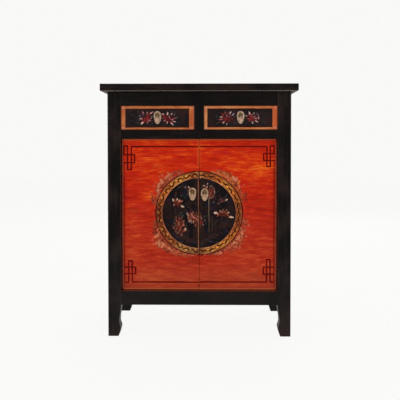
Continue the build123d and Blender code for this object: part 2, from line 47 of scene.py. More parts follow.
def lin(r, g, b):
    """An sRGB colour of 0 to 255 as linear red, green and blue."""
    def one(c):
        c /= 255.0
        return c / 12.92 if c <= 0.04045 else ((c + 0.055) / 1.055) ** 2.4
    return (one(r), one(g), one(b))


# ------------------------------------------------------------------ node materials
class Mat:
    """A node material round one Principled shader."""

    def __init__(self, name):
        self.mat = bpy.data.materials.new(name)
        self.mat.use_nodes = True
        self.t = self.mat.node_tree
        self.t.nodes.clear()
        self.out = self.node("ShaderNodeOutputMaterial")
        self.bsdf = self.node("ShaderNodeBsdfPrincipled")
        self.t.links.new(self.bsdf.outputs[0], self.out.inputs["Surface"])
        co = self.node("ShaderNodeTexCoord")
        self.obj, self.gen = co.outputs["Object"], co.outputs["Generated"]
        geo = self.node("ShaderNodeNewGeometry")
        self.true_normal, self.normal = geo.outputs["True Normal"], geo.outputs["Normal"]

    def node(self, kind, ins=None, **props):
        n = self.t.nodes.new(kind)
        for k, v in props.items():
            setattr(n, k, v)
        for k, v in (ins or {}).items():
            self.feed(n.inputs[k], v)
        return n

    def feed(self, socket, v):
        if isinstance(v, bpy.types.NodeSocket):
            self.t.links.new(v, socket)
        elif hasattr(v, "__len__"):
            v = tuple(v)
            socket.default_value = v + (1.0,) if len(v) == 3 and len(socket.default_value) == 4 else v
        else:
            socket.default_value = v

    def m(self, op, a, b=0.5, c=None, clamp=False):
        n = self.node("ShaderNodeMath", operation=op, use_clamp=clamp)
        for s, v in zip(n.inputs, (a, b) if c is None else (a, b, c)):
            self.feed(s, v)
        return n.outputs[0]

    def stretch(self, v, s, move=(0, 0, 0)):
        n = self.node("ShaderNodeMapping", {"Vector": v, "Scale": s, "Location": move})
        return n.outputs[0]

    def xyz(self, v):
        return self.node("ShaderNodeSeparateXYZ", {0: v}).outputs

    def noise(self, v, scale, detail=2.0, rough=0.5, warp=0.0):
        return self.node("ShaderNodeTexNoise", {"Vector": v, "Scale": scale, "Detail": detail,
                                                "Roughness": rough, "Distortion": warp}).outputs[0]

    def step(self, v, a, b, to=(0.0, 1.0)):
        """Goes smoothly from to[0] at a to to[1] at b."""
        n = self.node("ShaderNodeMapRange", {0: v, 1: a, 2: b, 3: to[0], 4: to[1]},
                      interpolation_type="SMOOTHSTEP")
        return n.outputs[0]

    def mix(self, f, a, b, mode="MIX"):
        n = self.node("ShaderNodeMix", data_type="RGBA", blend_type=mode, clamp_factor=True)
        for i, v in ((0, f), (6, a), (7, b)):
            self.feed(n.inputs[i], v)
        return n.outputs[2]

    def ramp(self, f, stops, mode="LINEAR"):
        n = self.node("ShaderNodeValToRGB", {0: f})
        n.color_ramp.interpolation = mode
        e = n.color_ramp.elements
        while len(e) < len(stops):
            e.new(0.5)
        for el, (p, c) in zip(e, stops):
            el.position, el.color = p, tuple(c) + (1.0,)
        return n.outputs[0]

    def near_edge(self, radius, a=0.015, b=0.22):
        """1 along outer arrises, 0 on flats."""
        bev = self.node("ShaderNodeBevel", {"Radius": radius}, samples=6)
        dot = self.node("ShaderNodeVectorMath", {0: bev.outputs[0], 1: self.true_normal},
                        operation="DOT_PRODUCT").outputs["Value"]
        return self.step(self.m("SUBTRACT", 1.0, dot), a, b)

    def bump(self, height, strength, distance, normal=None):
        n = self.node("ShaderNodeBump", {"Height": height, "Strength": strength, "Distance": distance})
        if normal is not None:
            self.feed(n.inputs["Normal"], normal)
        return n.outputs[0]

    def done(self, colour, rough, normal=None, **values):
        self.feed(self.bsdf.inputs["Base Color"], colour)
        self.feed(self.bsdf.inputs["Roughness"], rough)
        if normal is not None:
            self.feed(self.bsdf.inputs["Normal"], normal)
        for k, v in values.items():
            self.feed(self.bsdf.inputs[k.replace("_", " ")], v)
        return self.mat


def black_lacquer(name, grain, brown=0.0, foot=False, matt=0.0, bare_and_floor_lit_below=False, reveal=None):
    """Black lacquer brushed over softwood: the grain shows faintly through, arrises are rubbed brown."""
    k = Mat(name)
    s = {"x": (5, 60, 60), "y": (60, 5, 60), "z": (60, 60, 5)}[grain]
    cloud = k.noise(k.obj, 7.0, 3.0, 0.55)
    brush = k.noise(k.stretch(k.obj, s), 1.0, 4.0, 0.6, 0.4)
    fine = k.noise(k.stretch(k.obj, tuple(3.2 * v for v in s)), 1.0, 3.0, 0.6)
    speck = k.noise(k.obj, 260.0, 2.0, 0.6)
    base = k.mix(k.step(cloud, 0.35, 0.68), lin(17, 14, 14), lin(25, 19, 19))
    base = k.mix(k.m("MULTIPLY", k.step(brush, 0.5, 0.72), 0.6), base, lin(38, 28, 26))
    if bare_and_floor_lit_below:
        # the wood shows grey where the lacquer was left off underneath, and the downward faces are painted pale as
        # well: painted light from the white floor below
        below = k.step(k.xyz(k.true_normal)[2], -0.55, -0.9)
        grey = k.mix(k.step(fine, 0.35, 0.7), lin(150, 139, 130), lin(176, 166, 156))
        base = k.mix(below, base, grey)
    if brown:
        base = k.mix(k.m("MULTIPLY", k.step(k.m("ADD", cloud, k.m("MULTIPLY", fine, 0.4)), 0.55, 0.85), brown),
                     base, lin(74, 56, 48))
    if foot:
        # near the floor the feet carry paler brown scuffs, and the lowest part is also lightened a little all over as
        # painted light from the floor
        z = k.xyz(k.obj)[2]
        low_down = k.step(z, 0.075, 0.0)
        scuff = k.step(k.m("ADD", fine, k.m("MULTIPLY", low_down, 0.28)), 0.6, 0.86)
        base = k.mix(k.m("MULTIPLY", scuff, k.m("MULTIPLY", low_down, 0.5)), base, lin(66, 45, 39))
        base = k.mix(k.m("MULTIPLY", low_down, 0.2), base, lin(40, 29, 28))
    if reveal:
        # the narrow faces that look in to the doors are red-brown: on the posts, red brushed over them; on the rails'
        # top and bottom faces, a painted reflection of the red doors
        x, y, z = k.xyz(k.obj)[:3]
        tx, ty, tz = k.xyz(k.true_normal)[:3]
        ahead = k.m("MULTIPLY", k.step(y, -0.160, -0.163), k.step(k.m("ADD", z, k.m("MULTIPLY", speck, 0.01)), 0.165, 0.178))
        ahead = k.m("MULTIPLY", ahead, k.step(z, 0.795, 0.790))
        if reveal == "side":
            inward = k.step(k.m("MULTIPLY", tx, k.m("SIGN", x)), -0.5, -0.9)
        else:
            inward = k.step(k.m("ABSOLUTE", tz), 0.5, 0.9)
        base = k.mix(k.m("MULTIPLY", ahead, inward), base, k.mix(k.step(speck, 0.4, 0.6), lin(110, 54, 38), lin(80, 42, 34)))
    edge = k.near_edge(0.0022)
    rubbed = k.m("MULTIPLY", edge, k.step(k.m("ADD", cloud, k.m("MULTIPLY", speck, 0.35)), 0.5, 0.82))
    base = k.mix(k.m("MULTIPLY", rubbed, 0.6), base, lin(96, 70, 52))
    rough = k.m("ADD", k.m("MULTIPLY", brush, 0.12), 0.19 + matt)
    rough = k.m("ADD", rough, k.m("MULTIPLY", rubbed, 0.25))
    height = k.m("ADD", k.m("MULTIPLY", brush, 0.5), k.m("MULTIPLY", fine, 0.35))
    soft = k.node("ShaderNodeBevel", {"Radius": 0.0012}, samples=4).outputs[0]
    return k.done(base, rough, k.bump(height, 0.16, 0.0005, soft), Specular_IOR_Level=0.28)


def stained_boards(name):
    """Upright softwood boards under one thin coat of black, brown where it has rubbed off."""
    k = Mat(name)
    x, y, z = k.xyz(k.obj)[:3]
    ring = k.noise(k.stretch(k.obj, (38, 38, 2.4)), 1.0, 4.0, 0.6, 1.1)
    fibre = k.noise(k.stretch(k.obj, (260, 260, 16)), 1.0, 3.0, 0.6)
    late = k.step(k.m("SINE", k.m("MULTIPLY", ring, 30.0)), 0.0, 0.95)
    thin = k.step(k.noise(k.stretch(k.obj, (5, 5, 1.6)), 1.0, 3.0, 0.5), 0.35, 0.75)
    base = k.mix(k.m("MULTIPLY", thin, 0.6), lin(36, 28, 25), lin(66, 47, 37))
    base = k.mix(k.m("MULTIPLY", late, 0.5), base, lin(24, 18, 17))
    base = k.mix(k.m("MULTIPLY", k.step(fibre, 0.5, 0.8), 0.35), base, lin(84, 62, 48))
    # joints between the boards, a hand's breadth apart
    cell = k.m("ABSOLUTE", k.m("SUBTRACT", k.m("FRACT", k.m("MULTIPLY", k.m("ADD", x, 5.045), 8.2)), 0.5))
    joint = k.step(cell, 0.491, 0.497)
    base = k.mix(joint, base, lin(9, 7, 7))
    height = k.m("SUBTRACT", k.m("ADD", k.m("MULTIPLY", late, 0.3), k.m("MULTIPLY", fibre, 0.4)), joint)
    return k.done(base, k.m("ADD", k.m("MULTIPLY", fibre, 0.16), 0.44), k.bump(height, 0.35, 0.0006),
                  Specular_IOR_Level=0.25)


def red_lacquer(name):
    """Orange-red lacquer laid on with a wide brush from side to side, thin enough for the ochre ground to show."""
    k = Mat(name)
    x, y, z = k.xyz(k.obj)[:3]
    big = k.noise(k.stretch(k.obj, (3.4, 3.4, 8.5)), 1.0, 4.0, 0.6)
    pull = k.noise(k.stretch(k.obj, (17.0, 17.0, 92.0)), 1.0, 5.0, 0.66, 0.3)
    hair = k.noise(k.stretch(k.obj, (34.0, 34.0, 400.0)), 1.0, 4.0, 0.65, 0.25)
    dab = k.noise(k.stretch(k.obj, (14.0, 14.0, 60.0), (0.3, 0.1, 0.7)), 1.0, 3.0, 0.5, 0.6)
    # above the round, and most to its right, the red turns paler orange-ochre in broad patches
    patch = None
    for cx, cz, rx, rz, w in ((0.165, 0.66, 0.2, 0.11, 0.7), (0.118, 0.703, 0.07, 0.028, 0.9),
                              (0.2, 0.64, 0.08, 0.03, 1.0), (-0.165, 0.715, 0.09, 0.03, 0.6)):
        gx = k.m("DIVIDE", k.m("SUBTRACT", x, cx), rx)
        gz = k.m("DIVIDE", k.m("SUBTRACT", z, cz), rz)
        far = k.m("SQRT", k.m("ADD", k.m("MULTIPLY", gx, gx), k.m("MULTIPLY", gz, gz)))
        spot = k.m("MULTIPLY", k.step(far, 1.0, 0.0), w)
        patch = spot if patch is None else k.m("ADD", patch, spot)
    t = k.m("ADD", k.m("MULTIPLY", pull, 0.84), k.m("MULTIPLY", hair, 0.46))
    t = k.m("ADD", t, k.m("MULTIPLY", k.m("SUBTRACT", big, 0.5), 0.7))
    t = k.m("ADD", t, k.m("MULTIPLY", patch, 0.06))
    # lower down the red is darker and duller: partly the lacquer's own tone, partly painted shade for light falling off
    # towards the bottom
    t = k.m("SUBTRACT", t, k.m("ADD", k.m("MULTIPLY", k.step(z, 0.76, 0.68), 0.036), 0.194))
    upper = k.ramp(t, ((0.20, lin(152, 17, 2)), (0.40, lin(192, 31, 3)), (0.52, lin(205, 45, 5)),
                       (0.61, lin(220, 72, 11)), (0.72, lin(232, 108, 26))))
    lower = k.ramp(t, ((0.20, lin(144, 28, 13)), (0.40, lin(176, 42, 20)), (0.52, lin(188, 58, 28)),
                       (0.61, lin(200, 78, 36)), (0.72, lin(210, 104, 52))))
    fall = k.step(z, 0.66, 0.30)
    base = k.mix(fall, upper, lower)
    base = k.mix(k.m("MULTIPLY", k.step(dab, 0.56, 0.74), 0.5), base, lin(182, 34, 40))
    base = k.mix(k.m("MULTIPLY", k.step(dab, 0.42, 0.28), 0.35), base, lin(150, 66, 34))
    base = k.mix(k.m("MULTIPLY", k.step(z, 0.32, 0.2), 0.2), base, lin(158, 96, 60))
    # the outer edges of the door are rubbed to a dull brown-pink line, made paler still as painted light against the
    # shade the frame casts on the recessed door's edges
    aside = k.m("ABSOLUTE", x)
    dx = k.m("SUBTRACT", 0.3095, aside)
    dz = k.m("MINIMUM", k.m("SUBTRACT", z, 0.1825), k.m("SUBTRACT", 0.7845, z))
    dist = k.m("MINIMUM", dx, dz)
    wobble = k.m("MULTIPLY", k.m("SUBTRACT", k.noise(k.obj, 55.0, 3.0, 0.6), 0.5), 0.006)
    rim = k.step(k.m("ADD", dist, k.m("MULTIPLY", wobble, 0.7)), 0.0076, 0.0034)
    upright = k.step(k.m("SUBTRACT", dz, dx), -0.002, 0.002)
    pale = k.mix(upright, lin(202, 102, 60), lin(206, 132, 114))
    base = k.mix(k.m("MULTIPLY", rim, 0.9), base, k.mix(k.m("MULTIPLY", k.step(hair, 0.35, 0.65), 0.5), pale, lin(168, 70, 44)))
    # where the round crosses it, the meeting edge is rubbed through the black to pale brown
    qx = k.m("DIVIDE", k.m("SUBTRACT", x, RING[0] * MM), 0.166)
    qz = k.m("DIVIDE", k.m("SUBTRACT", z, RING[1] * MM), 0.166)
    q = k.m("ADD", k.m("MULTIPLY", qx, qx), k.m("MULTIPLY", qz, qz))
    seam = k.m("MULTIPLY", k.step(aside, 0.005, 0.003), k.step(q, 1.02, 0.98))
    base = k.mix(seam, base, k.mix(k.step(hair, 0.35, 0.65), lin(40, 22, 16), lin(56, 32, 24)))
    above = k.m("MULTIPLY", k.step(k.m("ADD", aside, wobble), 0.013, 0.001), k.step(z, 0.655, 0.69))
    above = k.m("MULTIPLY", above, k.step(x, 0.004, -0.004, (0.3, 0.52)))
    base = k.mix(above, base, lin(206, 88, 36))
    front = k.step(y, -0.1585, -0.1635)
    base = k.mix(front, k.mix(k.step(hair, 0.3, 0.7), lin(92, 40, 22), lin(124, 60, 34)), base)
    rough = k.m("ADD", k.m("MULTIPLY", pull, 0.16), 0.26)
    height = k.m("ADD", k.m("MULTIPLY", pull, 0.5), k.m("MULTIPLY", hair, 0.5))
    return k.done(base, rough, k.bump(height, 0.3, 0.0005), Specular_IOR_Level=0.11)


def drawer_lacquer(name, side):
    """A black field inside a border of orange, with a dark red line between."""
    k = Mat(name)
    x, y, z = k.xyz(k.obj)[:3]
    x0, x1, z0, z1 = (v * MM for v in FIELD[side])
    a0, a1, b0, b1 = (v * MM for v in PANEL[side])

    def inside(lo_x, hi_x, lo_z, hi_z):
        dx = k.m("MINIMUM", k.m("SUBTRACT", x, lo_x), k.m("SUBTRACT", hi_x, x))
        dz = k.m("MINIMUM", k.m("SUBTRACT", z, lo_z), k.m("SUBTRACT", hi_z, z))
        return dx, dz, k.m("MINIMUM", dx, dz)

    dx, dz, into = inside(x0, x1, z0, z1)
    wob = k.m("MULTIPLY", k.m("SUBTRACT", k.noise(k.obj, 48.0, 2.0, 0.5), 0.5), 0.0016)
    into = k.m("ADD", into, wob)
    ex, ez, rim = inside(a0, a1, b0, b1)
    upright = k.m("GREATER_THAN", dz, dx)
    along_x = k.noise(k.stretch(k.obj, (14, 60, 330)), 1.0, 4.0, 0.6)
    along_z = k.noise(k.stretch(k.obj, (330, 60, 14)), 1.0, 4.0, 0.6)
    streak = k.m("ADD", k.m("MULTIPLY", upright, along_z),
                 k.m("MULTIPLY", k.m("SUBTRACT", 1.0, upright), along_x))
    cloud = k.noise(k.obj, 16.0, 3.0, 0.55)
    t = k.m("ADD", k.m("MULTIPLY", streak, 0.6), k.m("MULTIPLY", cloud, 0.45))
    t = k.m("ADD", t, -0.035 if side == "left" else 0.045)
    orange = k.ramp(t, ((0.28, lin(138, 60, 32)), (0.46, lin(178, 94, 50)), (0.56, lin(198, 118, 66)),
                        (0.7, lin(216, 144, 92))))
    # the right-hand uprights are redder
    redder = k.m("MULTIPLY", k.step(x, a1 - 0.034, a1 - 0.012), 0.25 if side == "left" else 0.75)
    orange = k.mix(redder, orange, lin(190, 74, 32))
    corner = k.step(k.m("MAXIMUM", k.m("ABSOLUTE", k.m("SUBTRACT", ex, 0.011)),
                        k.m("ABSOLUTE", k.m("SUBTRACT", ez, 0.007))), 0.009, 0.001)
    orange = k.mix(k.m("MULTIPLY", corner, 0.55), orange, lin(206, 140, 118))
    # darker brown along its edges, most at the end by the post
    outer = k.m("SUBTRACT", x, a0) if side == "left" else k.m("SUBTRACT", a1, x)
    rim = k.m("MINIMUM", rim, k.m("SUBTRACT", outer, 0.0022))
    darker_rim = k.step(k.m("ADD", rim, k.m("MULTIPLY", wob, 1.4)), 0.0036, 0.0008)
    orange = k.mix(k.m("MULTIPLY", darker_rim, 0.8), orange, lin(98, 40, 22))
    field = k.mix(k.step(cloud, 0.4, 0.62), lin(27, 21, 22), lin(46, 28, 25))
    field = k.mix(k.m("MULTIPLY", k.step(k.noise(k.obj, 34.0, 3.0, 0.6), 0.5, 0.68), 0.6), field, lin(26, 32, 36))
    line = k.mix(k.step(streak, 0.35, 0.65), lin(62, 12, 5), lin(44, 9, 4))
    base = k.mix(k.step(into, -0.0038, -0.0022), orange, line)
    base = k.mix(k.step(into, 0.0, 0.0016), base, field)
    front = k.step(y, -0.1792, -0.1796)
    wood = k.mix(k.noise(k.stretch(k.obj, (30, 200, 200)), 1.0), lin(40, 26, 20), lin(70, 42, 28))
    base = k.mix(front, wood, base)
    rough = k.m("ADD", k.m("MULTIPLY", streak, 0.16), 0.24)
    return k.done(base, rough, k.bump(streak, 0.25, 0.0004), Specular_IOR_Level=0.26)


def bare_wood(name, grain, tone=1.0):
    """Plain softwood gone brown with age, as inside such a cabinet."""
    k = Mat(name)
    s = {"x": (2.2, 34, 34), "y": (34, 2.2, 34), "z": (34, 34, 2.2)}[grain]
    v = k.stretch(k.obj, s)
    ring = k.noise(v, 1.0, 4.0, 0.6, 1.2)
    fibre = k.noise(k.stretch(k.obj, tuple(7 * q for q in s)), 1.0, 3.0, 0.6)
    wave = k.m("SINE", k.m("MULTIPLY", ring, 34.0))
    late = k.step(wave, 0.1, 0.95)
    base = k.mix(k.step(fibre, 0.3, 0.75), tuple(tone * c for c in lin(168, 126, 84)),
                 tuple(tone * c for c in lin(138, 98, 62)))
    base = k.mix(k.m("MULTIPLY", late, 0.5), base, tuple(tone * c for c in lin(104, 68, 40)))
    stain = k.step(k.noise(k.obj, 5.0, 4.0, 0.6), 0.48, 0.75)
    base = k.mix(k.m("MULTIPLY", stain, 0.4), base, tuple(tone * c for c in lin(92, 62, 42)))
    height = k.m("ADD", k.m("MULTIPLY", late, 0.4), k.m("MULTIPLY", fibre, 0.6))
    return k.done(base, k.m("ADD", k.m("MULTIPLY", fibre, 0.2), 0.6), k.bump(height, 0.3, 0.0005),
                  Specular_IOR_Level=0.3)


def old_brass(name, bright, dark, eye=0.0, shine=0.42, hang=0.0):
    """Pale brass, polished where fingers reach, with pale patches that are partly painted glints; dull brown as painted
    shade for eye mm round the eye or over the top hang of a drop's length.
    """
    k = Mat(name)
    cloud = k.noise(k.obj, 130.0, 4.0, 0.6)
    pit = k.noise(k.obj, 900.0, 3.0, 0.6)
    t = k.m("ADD", k.m("MULTIPLY", cloud, 0.7), k.m("MULTIPLY", pit, 0.3))
    base = k.mix(k.step(t, 0.38, 0.68), bright, dark)
    # pale patches are partly polish and partly painted glints; the darker spots between them are tone
    glint = k.noise(k.obj, 105.0, 2.0, 0.5)
    base = k.mix(k.m("MULTIPLY", k.step(glint, 0.52, 0.62), 0.6), base, tuple(min(1.0, q * c) for q, c in zip((1.22, 1.3, 1.42), bright)))
    base = k.mix(k.m("MULTIPLY", k.step(glint, 0.46, 0.36), 0.5), base, tuple(0.62 * c for c in dark))
    if eye:
        # painted shadow of the eye and drop, dull brown round the hole for the eye, a fifth above the middle of the
        # plate, darkest right round the eye
        gx, gy, gz = k.xyz(k.gen)[:3]
        ax = k.m("MULTIPLY", k.m("SUBTRACT", gx, 0.5), 29.2)
        az = k.m("MULTIPLY", k.m("SUBTRACT", gz, 0.67), 50.4)
        r = k.m("SQRT", k.m("ADD", k.m("MULTIPLY", ax, ax), k.m("MULTIPLY", k.m("MULTIPLY", az, az), 0.6)))
        spot = k.noise(k.obj, 210.0, 3.0, 0.6)
        near = k.step(k.m("ADD", r, k.m("MULTIPLY", spot, 13.0)), eye + 5.5, eye)
        near = k.m("MULTIPLY", near, k.step(gz, 0.38, 0.5))
        base = k.mix(k.m("MULTIPLY", near, 0.9), base, k.mix(k.step(cloud, 0.4, 0.6), lin(124, 92, 52), lin(72, 50, 30)))
        base = k.mix(k.step(r, 4.6, 2.6), base, lin(52, 38, 20))
    if hang:
        # the top of the drop, by the eye, is darkened as painted shade
        top = k.step(k.m("ADD", k.xyz(k.gen)[2], k.m("MULTIPLY", cloud, 0.3)), 1.1 - hang, 1.3 - hang)
        base = k.mix(k.m("MULTIPLY", top, 0.75), base, lin(132, 98, 62))
    edge = k.near_edge(0.0005)
    base = k.mix(k.m("MULTIPLY", edge, 0.4), base, tuple(min(1.0, 1.15 * c) for c in bright))
    rough = k.m("ADD", k.m("MULTIPLY", t, 0.3), shine - 0.1)
    return k.done(base, rough, k.bump(t, 0.25, 0.0002), Metallic=0.3)


def round_ground(name):
    """The black of the round: soot black over older brown, with washes of navy, green and purple."""
    k = Mat(name)
    a = k.noise(k.obj, 22.0, 3.0, 0.55, 0.6)
    b = k.noise(k.stretch(k.obj, (1, 1, 1), (3.1, 0.4, 1.7)), 30.0, 3.0, 0.55, 0.5)
    fine = k.noise(k.stretch(k.obj, (60, 60, 160)), 1.0, 3.0, 0.6)
    base = k.mix(k.step(a, 0.46, 0.66), lin(24, 18, 20), lin(42, 26, 22))
    base = k.mix(k.m("MULTIPLY", k.step(b, 0.54, 0.68), 0.65), base, lin(25, 28, 46))
    base = k.mix(k.m("MULTIPLY", k.step(b, 0.44, 0.3), 0.8), base, lin(50, 24, 36))
    base = k.mix(k.m("MULTIPLY", k.step(a, 0.36, 0.26), 0.5), base, lin(22, 38, 28))
    base = k.mix(k.m("MULTIPLY", k.step(fine, 0.55, 0.75), 0.5), base, lin(56, 39, 34))
    return k.done(base, k.m("ADD", k.m("MULTIPLY", fine, 0.14), 0.22), k.bump(fine, 0.2, 0.0003),
                  Specular_IOR_Level=0.14)


def paint(name, rough=0.42, under=(0.1, 0.02, 0.01), wear=0.35, scale=150.0, sheen=0.24):
    """Brushed paint whose colours are in the strokes themselves, thin in places."""
    k = Mat(name)
    col = k.node("ShaderNodeAttribute", attribute_name="paint", attribute_type="GEOMETRY").outputs["Color"]
    a = k.noise(k.obj, scale, 3.0, 0.6)
    b = k.noise(k.stretch(k.obj, (1.0, 1.0, 2.2)), scale * 3.2, 3.0, 0.6)
    t = k.m("ADD", k.m("MULTIPLY", a, 0.6), k.m("MULTIPLY", b, 0.4))
    shade = k.mix(k.step(t, 0.32, 0.68), (1.12, 1.12, 1.12), (0.8, 0.8, 0.8))
    base = k.mix(1.0, col, shade, "MULTIPLY")
    base = k.mix(k.m("MULTIPLY", k.step(t, 0.5, 0.66), wear), base, under)
    return k.done(base, k.m("ADD", k.m("MULTIPLY", t, 0.2), rough - 0.16), k.bump(b, 0.25, 0.0002),
                  Specular_IOR_Level=sheen)


# ------------------------------------------------------------------ finishes of the CAD nodes
M = {g: black_lacquer("black_lacquer_" + g, g) for g in "xyz"}
M_post = black_lacquer("black_lacquer_post", "z", brown=0.2, foot=True, reveal="side")
M_rear = black_lacquer("black_lacquer_rear_post", "z", brown=0.08, matt=0.12)
M_rail = black_lacquer("black_lacquer_front_rail", "x", reveal="flat")
M_top = black_lacquer("black_lacquer_top", "x", brown=0.2, bare_and_floor_lit_below=True)
M_end = black_lacquer("black_lacquer_top_end", "y", brown=0.2, bare_and_floor_lit_below=True)
M_back = stained_boards("black_stained_boards")
M_red = red_lacquer("brushed_red_lacquer")
M_draw = {s: drawer_lacquer(f"{s}_drawer_lacquer", s) for s in ("left", "right")}
W = {g: bare_wood("bare_wood_" + g, g) for g in "xyz"}
M_plate = old_brass("pale_brass_plate", lin(216, 184, 156), lin(176, 140, 114), eye=12.5)
M_door_plate = old_brass("pale_brass_door_plate", lin(220, 182, 146), lin(180, 138, 104), eye=13.5)
M_pin = old_brass("dull_brass_wire", lin(140, 112, 66), lin(84, 62, 34), shine=0.5)
M_drop = old_brass("pale_brass_drop", lin(218, 178, 154), lin(190, 142, 116), shine=0.4, hang=0.35)
M_door_drop = old_brass("pale_brass_door_drop", lin(212, 174, 140), lin(172, 130, 98), shine=0.4, hang=0.42)

for name, o in nodes.items():
    if name.endswith("_post"):
        mat = M_rear if name.startswith("rear_") else M_post
    elif name in ("top_front_rail", "top_rear_rail", "top_panel"):
        mat = M_top
    elif name in ("top_left_end", "top_right_end"):
        mat = M_end
    elif name.startswith("back_") and name.endswith("_panel"):
        mat = M_back
    elif name.endswith("_door_panel"):
        mat = M_red
    elif name.endswith("_drawer_front"):
        mat = M_draw[name.split("_")[0]]
    elif name.endswith("_pull_plate"):
        mat = M_door_plate if "_door_" in name else M_plate
    elif name.endswith("_pull_pin"):
        mat = M_pin
    elif name.endswith("_pull_drop"):
        mat = M_door_drop if "_door_" in name else M_drop
    elif name.endswith("_side_panel") or name == "drawer_divider":
        mat = M["z"]
    elif name.endswith(("_side_top_rail", "_side_bottom_rail")):
        mat = M["y"]
    elif name in ("middle_rail", "bottom_rail"):
        mat = M_rail
    elif name in ("frieze_rail", "back_top_rail", "back_middle_rail", "back_bottom_rail"):
        mat = M["x"]
    elif name.endswith(("_outer_side", "_inner_side")) or name in ("shelf_bearers", "drawer_runners",
                                                                   "top_batten"):
        mat = W["y"]
    elif name.endswith("_pivots"):
        mat = W["z"]
    else:
        mat = W["x"]
    for i in range(max(1, len(o.material_slots))):
        if o.material_slots:
            o.material_slots[i].material = mat
        else:
            o.data.materials.append(mat)


# ------------------------------------------------------------------ painted ornament: thin closed films with brush relief
def wave(rng, n, size):
    """n small smooth offsets, for the wobble of a hand."""
    k = [rng.uniform(-1, 1) for _ in range(n // 3 + 3)]
    out = []
    for i in range(n):
        t = i / 3.0
        j, f = int(t), t - int(t)
        f = f * f * (3 - 2 * f)
        out.append(size * (k[j] * (1 - f) + k[j + 1] * f))
    return out


